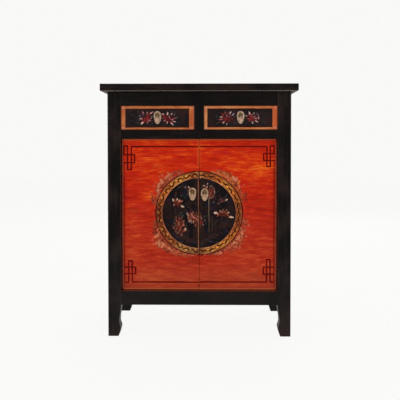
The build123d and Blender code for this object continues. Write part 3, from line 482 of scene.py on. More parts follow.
class Film:
    """Strokes of paint on a plane facing -Y at y0 mm. Each stroke is a closed sliver: flat below, rounded above."""

    def __init__(self, name, body, y0, mat, slot):
        self.name, self.body, self.y0, self.mat, self.slot = name, body, y0, mat, slot
        self.v, self.f, self.c = [], [], []

    def ribbon(self, pts, widths, mid, edge=None, lift=0.12, dome=0.08, closed=False):
        """pts are (x, z) in mm, widths full widths in mm, mid and edge one linear colour or one for each point."""
        n = len(pts)
        widths = widths if hasattr(widths, "__len__") else [widths] * n
        mid = mid if hasattr(mid[0], "__len__") else [mid] * n
        edge = mid if edge is None else edge if hasattr(edge[0], "__len__") else [edge] * n
        start = len(self.v)
        for i in range(n):
            a = pts[i - 1] if (i or closed) else None
            b = pts[(i + 1) % n] if (i < n - 1 or closed) else None
            p = pts[i]
            d1 = unit(p[0] - a[0], p[1] - a[1]) if a else None
            d2 = unit(b[0] - p[0], b[1] - p[1]) if b else None
            d1, d2 = d1 or d2, d2 or d1
            nx, nz = unit(-(d1[1] + d2[1]), d1[0] + d2[0]) or (-d1[1], d1[0])
            cos = max(0.45, nx * -d1[1] + nz * d1[0])
            h = max(widths[i], 0.02) / 2 / cos
            lx, lz, rx, rz = p[0] + nx * h, p[1] + nz * h, p[0] - nx * h, p[1] - nz * h
            base, top = self.y0 + 0.12, self.y0 - lift
            rise = dome * min(1.0, widths[i] / 3.0)
            self.v += [(lx, base, lz), (lx, top, lz), (p[0], top - rise, p[1]), (rx, top, rz), (rx, base, rz)]
            self.c += [edge[i], edge[i], mid[i], edge[i], edge[i]]
        for i in range(n if closed else n - 1):
            a, b = start + 5 * i, start + 5 * ((i + 1) % n)
            for j in range(4):
                self.f.append((a + j, b + j, b + j + 1, a + j + 1))
            self.f.append((a + 4, b + 4, b, a))
        if not closed:
            a, b = start, start + 5 * (n - 1)
            self.f += [(a, a + 1, a + 2, a + 3, a + 4), (b + 4, b + 3, b + 2, b + 1, b)]

    def bar(self, p, q, width, col, lift=0.12, rng=None):
        """A straight painted line with the ends squared off and slightly uneven sides."""
        n = max(3, int(math.dist(p, q) / 9.0) + 2)
        pts = [(p[0] + (q[0] - p[0]) * i / (n - 1), p[1] + (q[1] - p[1]) * i / (n - 1)) for i in range(n)]
        if rng:
            wid = [width + w for w in wave(rng, n, width * 0.14)]
            cols = [tuple(c * s for c in col) for s in (1 + w for w in wave(rng, n, 0.3))]
        else:
            wid, cols = width, col
        self.ribbon(pts, wid, cols, None, lift)

    def stroke(self, p, q, width, base, tip, edge=None, lift=0.15, bend=0.0, full=0.6, n=7, sharp=0.25, plump=0.0):
        """A petal or leaf from p to q, widest at full of its length, bent sideways by bend mm. plump makes it an oval."""
        dx, dz = q[0] - p[0], q[1] - p[1]
        length = math.hypot(dx, dz) or 1.0
        sx, sz = -dz / length, dx / length
        pts, wid, mid, rim = [], [], [], []
        for i in range(n):
            t = i / (n - 1)
            b = bend * 4 * t * (1 - t)
            pts.append((p[0] + dx * t + sx * b, p[1] + dz * t + sz * b))
            s = t ** 0.75 / full ** 0.75 if t < full else 1.0
            e = 1.0 if t < full else math.sqrt(max(0.0, 1 - ((t - full) / (1 - full)) ** 2))
            if plump:
                wid.append(width * max(0.1, math.sin(math.pi * (0.07 + 0.9 * t ** 0.85))) ** plump)
            else:
                wid.append(width * max(sharp if i == 0 else 0.12, min(s, 1.0) * e))
            mid.append(blend(base, tip, t ** 1.3))
            rim.append(blend(base, edge or tip, t ** 1.1))
        self.ribbon(pts, wid, mid, rim, lift)

    def make(self, cut=None):
        """Builds the object. cut is (x, keep) in mm: the film is cut at that x and keep is -1 for what lies left of it."""
        bm = bmesh.new()
        col = bm.verts.layers.float_color.new("paint")
        vs = []
        for p, c in zip(self.v, self.c):
            v = bm.verts.new([q * MM for q in p])
            v[col] = (*c, 1.0)
            vs.append(v)
        for f in self.f:
            bm.faces.new([vs[i] for i in f])
        if cut is not None:
            x, keep = cut
            geom = bm.verts[:] + bm.edges[:] + bm.faces[:]
            bmesh.ops.bisect_plane(bm, geom=geom, plane_co=(x * MM, 0, 0), plane_no=(-keep, 0, 0),
                                   clear_outer=True, dist=1e-7)
            bmesh.ops.holes_fill(bm, edges=[e for e in bm.edges if e.is_boundary], sides=0)
        bmesh.ops.dissolve_degenerate(bm, edges=bm.edges[:], dist=1e-7)
        bmesh.ops.recalc_face_normals(bm, faces=bm.faces[:])
        me = bpy.data.meshes.new(self.name)
        bm.to_mesh(me)
        bm.free()
        me.materials.append(self.mat)
        for p in me.polygons:
            p.use_smooth = False
        o = bpy.data.objects.new(self.name, me)
        bpy.context.scene.collection.objects.link(o)
        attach(o, self.body)
        return o


def unit(x, z):
    d = math.hypot(x, z)
    return (x / d, z / d) if d > 1e-9 else None


def blend(a, b, t):
    return tuple(p + (q - p) * t for p, q in zip(a, b))


# pots of paint, thinned on the brush
POT = {
    "w": lin(232, 214, 192), "c": lin(204, 174, 150), "p": lin(196, 126, 118), "k": lin(170, 82, 76),
    "r": lin(132, 34, 38), "m": lin(74, 24, 26), "o": lin(170, 92, 52), "b": lin(98, 56, 38),
    "n": lin(56, 38, 32), "g": lin(122, 112, 106), "h": lin(78, 72, 70), "s": lin(64, 66, 84),
    "v": lin(98, 64, 84), "l": lin(58, 62, 48), "d": lin(32, 36, 50), "u": lin(48, 36, 48),
    "i": lin(176, 174, 192),
}
THIN = {
    "C": lin(210, 138, 100), "K": lin(204, 108, 76), "P": lin(194, 80, 54), "B": lin(216, 90, 72),
    "T": lin(168, 82, 50), "N": lin(132, 54, 28), "D": lin(92, 32, 14), "U": lin(130, 40, 24),
    "R": lin(180, 32, 26), "O": lin(214, 114, 46), "L": lin(106, 34, 18),
}
# the same pots let down with brown for the round
DUSK = dict(POT, w=lin(224, 202, 178), c=lin(190, 146, 120), p=lin(184, 114, 94), k=lin(152, 76, 60),
            r=lin(120, 40, 28), m=lin(74, 27, 19), y=lin(128, 92, 84), e=lin(98, 46, 35), g=lin(116, 102, 90),
            h=lin(72, 62, 56), v=lin(106, 66, 72), q=lin(226, 140, 128))
LINE_RED, INK = lin(104, 2, 0), lin(72, 8, 3)


def daubs(film, pots, spec, seed, lift=0.14, broad=0.85, plump=0.8, rim=None):
    """Single petals and leaves: middle x and z, length, width, angle in degrees, pot at the root, pot at the tip.

    rim, if given, is the colour that their edges go halfway to."""
    rng = random.Random(seed)
    for i, (x, z, length, width, ang, root, tip) in enumerate(spec):
        a = math.radians(ang)
        dx, dz = 0.5 * length * math.cos(a), 0.5 * length * math.sin(a)
        film.stroke((x - dx, z - dz), (x + dx, z + dz), width * broad, pots[root], pots[tip],
                    edge=rim and blend(pots[tip], rim, 0.5), lift=lift + 0.011 * (i % 9),
                    bend=rng.uniform(-0.09, 0.09) * length, n=8, plump=plump)


def wash(film, col, spec, rim, lift=0.06):
    """Broad thin ovals under a flower: middle x and z, length, width, angle in degrees."""
    for i, (x, z, length, width, ang) in enumerate(spec):
        a = math.radians(ang)
        dx, dz = 0.5 * length * math.cos(a), 0.5 * length * math.sin(a)
        film.stroke((x - dx, z - dz), (x + dx, z + dz), width, col, col, edge=rim, lift=lift + 0.004 * i, n=12,
                    plump=0.55)


def stem(film, pts, w0, w1, c0, c1, lift=0.12):
    """A stem through pts, tapering and fading from its root to its end."""
    n = 9 * (len(pts) - 1) + 1
    line, wid, col = [], [], []
    for i in range(n):
        t = i / (n - 1) * (len(pts) - 1)
        j = min(len(pts) - 2, int(t))
        f = t - j
        line.append((pts[j][0] + (pts[j + 1][0] - pts[j][0]) * f, pts[j][1] + (pts[j + 1][1] - pts[j][1]) * f))
        wid.append(w0 + (w1 - w0) * i / (n - 1))
        col.append(blend(c0, c1, i / (n - 1)))
    film.ribbon(line, wid, col, None, lift=lift, dome=0.05)


# ---- doors: line border with square frets
def frets(film, side):
    rng = random.Random(11 if side == "left" else 12)
    if side == "left":
        v = (-270.4, -285.6, -300.0)
        vert = [(v[0], 756.6, 660.5), (v[1], 759.6, 660.5), (v[2], 759.6, 719.8), (-257.7, 724.2, 687.8),
                (-299.4, 692.2, 209.0), (-282.6, 299.0, 209.0), (-268.2, 299.0, 210.0), (-254.8, 274.0, 243.4)]
        horz = [(754.2, -272.6, -2.4), (757.3, -287.8, -302.2), (722.0, -302.2, -255.6), (690.0, -301.6, -255.6),
                (662.8, -272.6, -287.8), (296.8, -284.8, -266.0), (271.8, -301.6, -252.6),
                (245.4, -301.6, -252.6), (211.0, -301.6, -280.6), (212.2, -270.4, -2.4)]
    else:
        v = (268.6, 282.4, 296.8)
        vert = [(v[0], 756.6, 672.8), (v[1], 759.2, 672.8), (v[2], 759.2, 723.8), (255.9, 728.0, 696.6),
                (297.4, 701.2, 211.0), (282.2, 306.0, 211.0), (268.4, 306.0, 211.0), (255.4, 275.6, 242.8)]
        horz = [(754.1, 270.8, 2.4), (756.9, 280.2, 299.0), (725.9, 299.0, 253.7), (698.9, 299.6, 253.7),
                (675.0, 266.4, 284.6), (303.8, 284.4, 266.2), (273.4, 299.6, 253.2),
                (245.0, 299.6, 253.2), (213.2, 299.6, 280.0), (213.0, 270.6, 2.4)]
    for x, a, b in vert:
        long = a - b > 300
        film.bar((x, a), (x, b), 3.2 if long else 5.9, lin(134, 18, 6) if long else LINE_RED, 0.10, rng)
    for z, a, b in horz:
        film.bar((a, z), (b, z), 5.8, LINE_RED, 0.13, rng)


def around(rx, rz, a0, a1, n):
    return [(RING[0] + rx * math.cos(a0 + (a1 - a0) * i / (n - 1)),
             RING[1] + rz * math.sin(a0 + (a1 - a0) * i / (n - 1))) for i in range(n)]


def half(side):
    """The angles of one half of the round, from bottom to top."""
    return (1.5 * math.pi, 0.5 * math.pi) if side == "left" else (-0.5 * math.pi, 0.5 * math.pi)


def disc(film, side):
    s = -1 if side == "left" else 1
    rx, rz, n = 144.8, 137.8, 40
    x0 = s * (DOOR_EDGE + 1.0)
    pts, wid = [], []
    for i in range(n):
        t = math.sin(0.5 * math.pi * i / (n - 1))
        x = x0 + (RING[0] + s * rx - x0) * t
        q = min(1.0, abs(x - RING[0]) / rx)
        pts.append((x, RING[1]))
        wid.append(2 * rz * math.sqrt(max(0.0, 1 - q * q)))
    film.ribbon(pts, wid, lin(30, 24, 26), lin(30, 24, 26), lift=0.05, dome=0.0)


GOLD, ORANGE, TAN = lin(236, 148, 58), lin(220, 110, 24), lin(168, 76, 32)
BROWN, OLIVE = lin(120, 48, 22), lin(184, 130, 72)
CREAM = lin(204, 142, 84)
# the gilding is brightest on the four diagonals and rubbed brown where the round is widest and at the seam
GILDING = ((0, BROWN), (12, BROWN), (18, TAN), (32, ORANGE), (44, GOLD), (52, GOLD), (60, ORANGE), (70, TAN),
           (77, BROWN), (83, TAN), (87, CREAM), (92, CREAM), (97, TAN), (101, TAN), (110, GOLD), (124, GOLD),
           (138, ORANGE), (152, ORANGE), (164, TAN), (172, BROWN), (186, BROWN), (200, TAN), (212, TAN), (228, TAN),
           (240, OLIVE), (260, OLIVE), (270, BROWN), (280, OLIVE), (292, GOLD), (306, GOLD), (318, ORANGE),
           (334, TAN), (350, BROWN), (360, BROWN))


def gilding(a):
    d = math.degrees(a) % 360.0
    for (p, c), (q, e) in zip(GILDING, GILDING[1:]):
        if d <= q:
            return blend(c, e, (d - p) / (q - p))
    return BROWN


def gilt_band(film, side):
    rng = random.Random(21 if side == "left" else 22)
    a0, a1 = half(side)
    n = 90
    tone = wave(rng, n, 0.16)
    cols = [tuple(v * (1 + tone[i]) for v in gilding(a0 + (a1 - a0) * i / (n - 1))) for i in range(n)]
    ground = [blend(c, lin(80, 34, 12), 0.55) for c in cols]
    film.ribbon(around(158.0, 151.4, a0, a1, n), 26.0, ground, None, lift=0.08, dome=0.02)
    rim = [blend(c, lin(210, 144, 106), 0.36 + 0.3 * min(1.0, c[1] / GOLD[1])) for c in cols]
    outer = [blend(c, lin(192, 126, 84), 0.15 + 0.4 * min(1.0, c[1] / GOLD[1])) for c in cols]
    for rx, rz, w, c, up in ((149.4, 142.4, 5.0, rim, 0.13), (145.4, 138.4, 3.6, lin(40, 16, 8), 0.12),
                             (168.4, 162.0, 4.2, outer, 0.12), (172.8, 166.4, 5.2, INK, 0.11)):
        wd = [w + q for q in wave(rng, n, w * 0.2)]
        sh = [tuple(v * (1 + q) for v in (c if c in (INK, lin(40, 16, 8)) else c[i]))
              for i, q in enumerate(wave(rng, n, 0.32))]
        film.ribbon(around(rx, rz, a0, a1, n), wd, sh, None, lift=up, dome=0.04)


def band_scroll(film, side):
    """A dark scroll of curled leaves, with gold left bright between the curls."""
    rng = random.Random(31 if side == "left" else 32)
    a0, a1 = half(side)
    curls = 15

    def at(t, off):
        a = a0 + (a1 - a0) * t
        return (RING[0] + (158.6 + off) * math.cos(a), RING[1] + (152.1 + off) * math.sin(a))

    for k in range(curls):
        t = (k + 0.5 + rng.uniform(-0.14, 0.14)) / curls
        up = 1 if k % 2 == 0 else -1
        g = 1.0 / curls
        gold = gilding(a0 + (a1 - a0) * t)
        glow = 0.22 + 0.78 * min(1.0, gold[1] / GOLD[1])
        pale = blend(gold, lin(246, 172, 84), rng.uniform(0.4, 0.95) * glow)
        deep = blend(gold, lin(140, 66, 18), 0.6)
        dark = blend(lin(34, 11, 3), lin(76, 30, 7), rng.random())
        soot = blend(lin(26, 9, 3), lin(56, 22, 5), rng.random())
        film.stroke(at(t - 0.50 * g, up * 4.8), at(t + 0.10 * g, -up * 3.0), 11.0 * rng.uniform(0.8, 1.1), gold, pale,
                    lift=0.14, bend=up * 2.2, n=8, plump=0.6)
        film.stroke(at(t - 0.05 * g, -up * 5.4), at(t + 0.50 * g, -up * 4.2), 8.0 * rng.uniform(0.8, 1.2), pale, deep,
                    lift=0.15, n=8, plump=0.6)
        film.stroke(at(t + 0.06 * g, up * 6.4), at(t + 0.48 * g, up * 5.4), 6.0 * rng.uniform(0.8, 1.2), deep, pale,
                    lift=0.155, n=8, plump=0.6)
        # the curl itself: a long dark leaf, its turned tip, and a thin tail
        film.stroke(at(t - 0.34 * g, -up * 1.6), at(t + 0.22 * g, up * 2.2), 8.0 * rng.uniform(0.85, 1.25), dark, soot,
                    lift=0.17, bend=up * 2.6, n=9, plump=0.6)
        film.stroke(at(t + 0.14 * g, up * 3.6), at(t + 0.30 * g, -up * 3.4), 6.4 * rng.uniform(0.8, 1.2), soot, dark,
                    lift=0.18, bend=up * 1.6, n=7, plump=0.6)
        film.stroke(at(t + 0.24 * g, -up * 3.6), at(t + 0.62 * g, -up * 0.6), 4.0 * rng.uniform(0.8, 1.2), dark, dark,
                    lift=0.19, bend=-up * 1.8, n=7, plump=0.5)
        film.stroke(at(t - 0.40 * g, up * 7.6), at(t - 0.06 * g, up * 6.6), 3.2 * rng.uniform(0.7, 1.2), dark, deep,
                    lift=0.185, n=6, plump=0.5)
        film.stroke(at(t - 0.30 * g, -up * 7.4), at(t - 0.08 * g, -up * 5.4), 3.0 * rng.uniform(0.7, 1.2), dark, deep,
                    lift=0.187, n=6, plump=0.5)
    for off in (-8.6, 8.6):
        pts = [at(i / 119, off + q) for i, q in enumerate(wave(rng, 120, 0.7))]
        film.ribbon(pts, [1.4 + q for q in wave(rng, 120, 1.1)], lin(66, 28, 10), None, lift=0.2, dome=0.03)


def medallion_flowers(film):
    """Stems, leaves and blossoms on the black round."""
    rng = random.Random(41)
    DIM = (lin(26, 29, 46), lin(30, 44, 30), lin(58, 28, 38), lin(70, 36, 25), lin(46, 37, 38))
    # dim leaves and washes all over the ground
    for i in range(96):
        a, q = 2.39996 * i, math.sqrt((i + 0.5) / 96)
        x, z = RING[0] + 132 * q * math.cos(a), RING[1] + 126 * q * math.sin(a)
        b = rng.uniform(0, 2 * math.pi)
        length = rng.uniform(9, 21)
        c = blend(DIM[rng.randrange(5)], lin(24, 20, 22), rng.uniform(0.0, 0.45))
        film.stroke((x, z), (x + length * math.cos(b), z + length * math.sin(b)), length * rng.uniform(0.3, 0.55),
                    c, blend(c, lin(24, 20, 22), 0.4), lift=0.07 + 0.0006 * i, bend=rng.uniform(-2, 2), plump=0.7)
    stem(film, ((38.5, 544), (37.6, 500), (39.4, 450), (38.4, 412)), 4.0, 3.0, lin(112, 98, 84), lin(70, 56, 34))
    stem(film, ((51, 474), (52, 440), (50.5, 412)), 3.4, 2.4, lin(66, 52, 40), lin(74, 62, 40))
    stem(film, ((-9, 456), (-10, 430), (-8, 396), (-9, 366)), 6.0, 3.0, lin(84, 44, 30), lin(44, 32, 30))
    stem(film, ((5, 456), (5.5, 430), (4.5, 402)), 6.0, 4.0, lin(78, 40, 28), lin(48, 32, 27))
    stem(film, ((-52, 452), (-47, 420), (-43, 372)), 2.6, 2.0, lin(60, 54, 44), lin(46, 44, 44))
    stem(film, ((-97, 508), (-94, 488), (-90, 474)), 2.4, 2.0, lin(62, 50, 44), lin(54, 44, 38))
    stem(film, ((92, 476), (86, 448), (80, 424)), 2.4, 1.8, lin(58, 48, 42), lin(46, 42, 42))
    # brown ground rubbed through beside the seam, and under the heads
    wash(film, lin(43, 27, 23), ((-12, 596, 52, 18, 97), (-14, 540, 44, 15, 84), (-12, 420, 50, 22, 80),
                                 (-16, 384, 36, 20, 110), (10, 612, 40, 16, 82), (9, 520, 44, 13, 97),
                                 (12, 424, 46, 20, 100), (8, 384, 34, 16, 75), (-40, 528, 36, 20, 10),
                                 (-64, 505, 34, 16, -20)),
         lin(33, 23, 22), 0.10)
    wash(film, lin(52, 33, 30), ((-70, 396, 60, 26, -18), (-30, 380, 44, 18, 10), (56, 398, 44, 22, 14),
                                 (22, 380, 50, 16, 0), (104, 446, 40, 20, 60)), lin(40, 29, 29), 0.085)
    wash(film, lin(82, 36, 24), ((-28, 472, 46, 40, 100), (-8, 458, 44, 34, -50), (2, 446, 34, 26, -70),
                                 (-78, 446, 52, 34, 75), (-80, 424, 40, 36, 60), (47, 574, 56, 34, 88),
                                 (90, 486, 44, 16, 0), (-86, 530, 34, 22, -30)), lin(50, 26, 22), 0.12)
    daubs(film, DUSK, (
        # leaves
        (-72, 490, 16, 7, 40, "l", "h"), (-64, 480, 14, 6, -30, "l", "l"), (-78, 478, 12, 6, 120, "n", "l"),
        (-56, 500, 13, 6, 20, "n", "u"), (-40, 512, 18, 8, 10, "n", "n"), (-32, 504, 14, 7, -15, "n", "u"),
        (-78, 592, 11, 6, 15, "h", "h"), (-66, 597, 9, 4, 160, "u", "h"), (-55, 590, 10, 6, 120, "h", "g"),
        (-48, 582, 9, 5, 70, "u", "h"), (-86, 584, 10, 5, 140, "d", "u"), (-70, 560, 14, 7, 30, "l", "d"),
        (-96, 556, 12, 6, 150, "l", "d"), (-116, 548, 13, 7, 80, "d", "d"), (56, 614, 11, 5, 20, "n", "n"),
        (70, 372, 18, 4, 4, "d", "s"), (50, 375, 18, 4, -3, "s", "d"), (-68, 375, 16, 4, 2, "s", "d"),
        (-36, 378, 14, 5, 6, "m", "n"), (-20, 372, 18, 5, -4, "d", "s"), (14, 368, 18, 5, 3, "s", "d"),
        (30, 384, 14, 4, 0, "d", "s"), (20, 476, 9, 6, 60, "h", "s"), (22, 460, 8, 7, 110, "s", "g"),
        (28, 448, 10, 5, 80, "l", "n"), (70, 460, 14, 7, 100, "u", "n"), (62, 446, 12, 5, 70, "n", "l"),
        (96, 452, 14, 6, 20, "n", "d"), (112, 456, 14, 7, -20, "d", "d"), (57, 532, 9, 7, 100, "h", "g"),
        (76, 527, 9, 8, 70, "v", "h"), (66, 548, 10, 5, 140, "n", "h"), (118, 530, 14, 7, 80, "d", "d"),
    ), 42, 0.12)
    daubs(film, DUSK, (
        # small blossom at upper left
        (-92, 530, 13, 10, 170, "m", "r"), (-84, 524, 12, 9, 220, "m", "r"), (-95, 521, 10, 6, 200, "m", "n"),
        (-104, 541, 12, 8, 115, "c", "w"), (-88, 543, 12, 8, 65, "k", "w"), (-96, 536, 8, 6, 90, "r", "k"),
        (-71, 536, 12, 8, 20, "k", "p"), (-82, 533, 11, 8, 75, "r", "p"), (-100, 522, 9, 7, 235, "r", "c"),
        (-76, 523, 9, 5, -50, "r", "k"), (-67, 516, 14, 10, -15, "c", "w"), (-85, 515, 8, 5, 270, "m", "r"),
        (-79, 538, 11, 8, 50, "q", "q"), (-90, 525, 8, 5, 220, "r", "r"),
        # dusky double head at lower left
        (-92, 470, 13, 6, 100, "e", "y"), (-80, 466, 12, 7, 70, "e", "k"), (-70, 470, 10, 6, 40, "e", "y"),
        (-89, 457, 14, 9, 120, "r", "k"), (-63, 456, 13, 8, 60, "k", "y"), (-98, 448, 12, 7, 160, "e", "y"),
        (-81, 446, 19, 9, 92, "k", "p"), (-73, 452, 10, 6, 80, "r", "k"), (-92, 440, 12, 7, 200, "e", "k"),
        (-63, 442, 14, 8, 75, "k", "p"), (-75, 433, 15, 8, 60, "r", "k"), (-102, 430, 14, 9, 100, "e", "y"),
        (-89, 428, 13, 8, 230, "e", "k"), (-76, 421, 15, 10, 240, "k", "p"), (-57, 424, 15, 11, 80, "p", "c"),
        (-64, 416, 11, 7, 300, "r", "k"), (-85, 412, 14, 8, 215, "e", "g"), (-70, 404, 14, 10, 280, "e", "y"),
        (-93, 418, 10, 6, 220, "n", "y"), (-60, 438, 9, 5, 20, "b", "o"), (-84, 437, 9, 6, 260, "r", "r"),
        (-70, 439, 9, 6, 300, "r", "r"), (-96, 460, 9, 5, 140, "n", "y"), (-82, 473, 8, 5, 90, "n", "e"),
        (-106, 440, 10, 5, 110, "n", "e"), (-79, 455, 8, 5, 280, "m", "r"),
        # large pale-rimmed head at the seam
        (-45, 483, 17, 9, 125, "y", "c"), (-42, 470, 18, 10, 100, "k", "y"), (-37, 459, 15, 11, 220, "y", "c"),
        (-30, 481, 15, 12, 100, "k", "p"), (-20, 477, 11, 8, 80, "r", "k"), (-33, 470, 13, 9, 120, "e", "k"),
        (-23, 455, 12, 10, 270, "o", "c"), (-31, 452, 10, 7, 250, "y", "g"), (-24, 492, 13, 8, 100, "e", "y"),
        (-12, 490, 12, 9, 70, "b", "e"), (-26, 464, 13, 7, 200, "m", "r"), (-20, 471, 16, 7, -38, "q", "k"),
        (-7, 477, 14, 8, -40, "b", "o"), (-14, 460, 10, 7, 250, "r", "k"), (-7, 459, 15, 12, 285, "k", "p"),
        (2, 449, 12, 9, 280, "r", "r"), (-14, 441, 14, 9, 255, "b", "k"), (8, 467, 12, 11, 60, "e", "y"),
        (10, 453, 12, 9, 0, "r", "r"), (13, 443, 12, 8, -30, "e", "y"), (2, 487, 12, 8, 80, "b", "b"),
        (5, 476, 11, 7, 60, "b", "k"), (-5, 436, 15, 8, 265, "b", "b"), (6, 436, 13, 7, 280, "b", "e"),
        (-48, 492, 9, 5, 150, "n", "y"), (-36, 489, 9, 6, 110, "e", "k"), (-10, 467, 9, 5, -50, "o", "p"),
        # wide head on the right
        (92, 484, 34, 17, 0, "m", "m"), (65, 489, 15, 12, 170, "c", "w"), (76, 486, 12, 8, 190, "r", "q"),
        (84, 496, 11, 8, 120, "k", "c"), (95, 501, 10, 8, 95, "b", "g"), (109, 501, 11, 7, 60, "b", "g"),
        (91, 490, 13, 10, 80, "q", "k"), (99, 493, 9, 7, 60, "r", "k"), (84, 481, 13, 7, 200, "m", "r"),
        (98, 479, 14, 8, 340, "r", "e"), (105, 487, 12, 8, 20, "r", "o"), (115, 490, 12, 10, 30, "k", "c"),
        (113, 480, 11, 6, 350, "b", "o"), (128, 472, 18, 10, -8, "c", "w"), (117, 472, 9, 6, 320, "b", "k"),
        (74, 478, 10, 6, 220, "m", "k"), (90, 474, 10, 5, 270, "m", "n"), (104, 496, 8, 5, 70, "e", "k"),
        # dim head above it
        (90, 545, 12, 9, 120, "m", "v"), (88, 535, 12, 8, 220, "v", "v"), (97, 538, 9, 7, 300, "m", "k"),
        (108, 541, 14, 8, 32, "b", "w"), (82, 543, 9, 6, 170, "u", "v"), (99, 549, 8, 6, 60, "n", "h"),
        # rose behind the right-hand pull
        (46, 572, 28, 18, 90, "m", "r"), (49, 581, 12, 7, 130, "r", "k"), (42, 581, 11, 7, 80, "m", "k"),
        (46, 567, 13, 8, 80, "r", "p"), (53, 571, 10, 6, 30, "m", "e"), (40, 571, 10, 7, 100, "m", "k"),
        (47, 559, 10, 6, 210, "r", "k"), (44, 596, 15, 8, 30, "n", "g"), (56, 588, 15, 8, -50, "e", "y"),
        (61, 573, 16, 8, 270, "y", "y"), (56, 557, 14, 8, 230, "e", "y"), (44, 549, 17, 9, 190, "y", "y"),
        (38, 558, 9, 7, 140, "k", "y"), (52, 595, 10, 6, 150, "l", "g"), (30, 591, 14, 8, 55, "k", "c"),
        (19, 597, 13, 8, 0, "y", "c"), (33, 605, 10, 6, 70, "v", "i"), (9, 592, 9, 6, 190, "n", "b"),
        (52, 580, 9, 6, 20, "e", "k"), (60, 563, 8, 5, 60, "n", "y"),
        # petals showing past the left-hand pull
        (-41, 590, 15, 8, 125, "y", "c"), (-46, 581, 10, 6, 170, "b", "e"), (-34, 583, 11, 7, 110, "b", "o"),
        (-48, 566, 10, 5, 200, "n", "b"), (-10, 580, 8, 5, 20, "n", "b"), (-56, 594, 12, 6, 20, "h", "g"),
    ), 43, 0.15)


def seam_line(film):
    """The round's seam: the left door's meeting edge rubbed to a pale brown line."""
    rng = random.Random(51)
    n = 30
    for x, w, c in ((-3.2, 3.6, lin(134, 80, 60)),):
        z0, z1 = RING[1] - 165, RING[1] + 164
        pts = [(x, z0 + (z1 - z0) * i / (n - 1)) for i in range(n)]
        wd = [w + q for q in wave(rng, n, 0.9)]
        col = [tuple(v * (1 + q) for v in c) for q in wave(rng, n, 0.35)]
        film.ribbon(pts, wd, col, None, lift=0.27, dome=0.04)


# how far each spray of the wreath reaches out, in mm from the outline, by angle in degrees
REACH = (((14, 4), (20, 20), (27, 12), (36, 16), (44, 30), (51, 20), (58, 22), (66, 10), (74, 3)),
         ((110, 3), (121, 22), (130, 15), (141, 29), (149, 22), (156, 7), (160, 14), (165, 26), (169, 6)),
         ((190, 3), (199, 17), (206, 22), (214, 30), (220, 38), (228, 28), (238, 20), (248, 12), (264, 5)),
         ((282, 4), (297, 14), (304, 14), (312, 26), (319, 36), (328, 32), (336, 18), (347, 22), (354, 5)))


def wreath_wash(film):
    """Dusky pink laid thinly under each spray, from the outline of the round outwards."""
    rng = random.Random(60)
    for side in REACH:
        for (a0, r0), (a1, r1) in zip(side, side[1:]):
            n = max(1, round((a1 - a0) / 2.6))
            for i in range(n):
                a = a0 + (a1 - a0) * (i + rng.uniform(0.2, 0.8)) / n
                reach = r0 + (r1 - r0) * (a - a0) / (a1 - a0)
                d = 1.0
                while d < reach:
                    g = math.radians(a + rng.uniform(-1.5, 1.5))
                    r = 176.0 + d
                    x, z = RING[0] + r * math.cos(g), RING[1] + 0.965 * r * math.sin(g)
                    b = g + rng.uniform(-1.1, 1.1)
                    length = rng.uniform(11, 17)
                    col = blend(lin(178, 86, 56), lin(144, 52, 29), rng.random())
                    if a < 90:
                        col = blend(col, lin(222, 126, 56), 0.6)
                    if a < 31 or 186 < a < 206:
                        col = blend(col, lin(126, 38, 20), 0.62)
                    col = blend(col, lin(192, 54, 24), 0.45 * (d / reach) ** 1.5)
                    c, e = 0.5 * length * math.cos(b), 0.5 * length * math.sin(b)
                    film.stroke((x - c, z - e), (x + c, z + e), length * rng.uniform(0.55, 0.8), col,
                                blend(col, lin(208, 122, 84), 0.0 if a < 31 or 186 < a < 206 else rng.random() ** 2),
                                edge=lin(132, 40, 20),
                                lift=0.03 + 0.03 * rng.random(), n=9, plump=0.55)
                    if rng.random() < 0.34:
                        # a fine brown line along the petal
                        b += rng.uniform(-0.5, 0.5)
                        c, e = 0.4 * length * math.cos(b), 0.4 * length * math.sin(b)
                        film.stroke((x - c, z - e), (x + c, z + e), rng.uniform(1.8, 3.0), THIN["L"], THIN["N"],
                                    lift=0.15 + 0.02 * rng.random(), bend=rng.uniform(-2, 2), n=7, plump=0.5)
                    d += rng.uniform(6.0, 9.5)


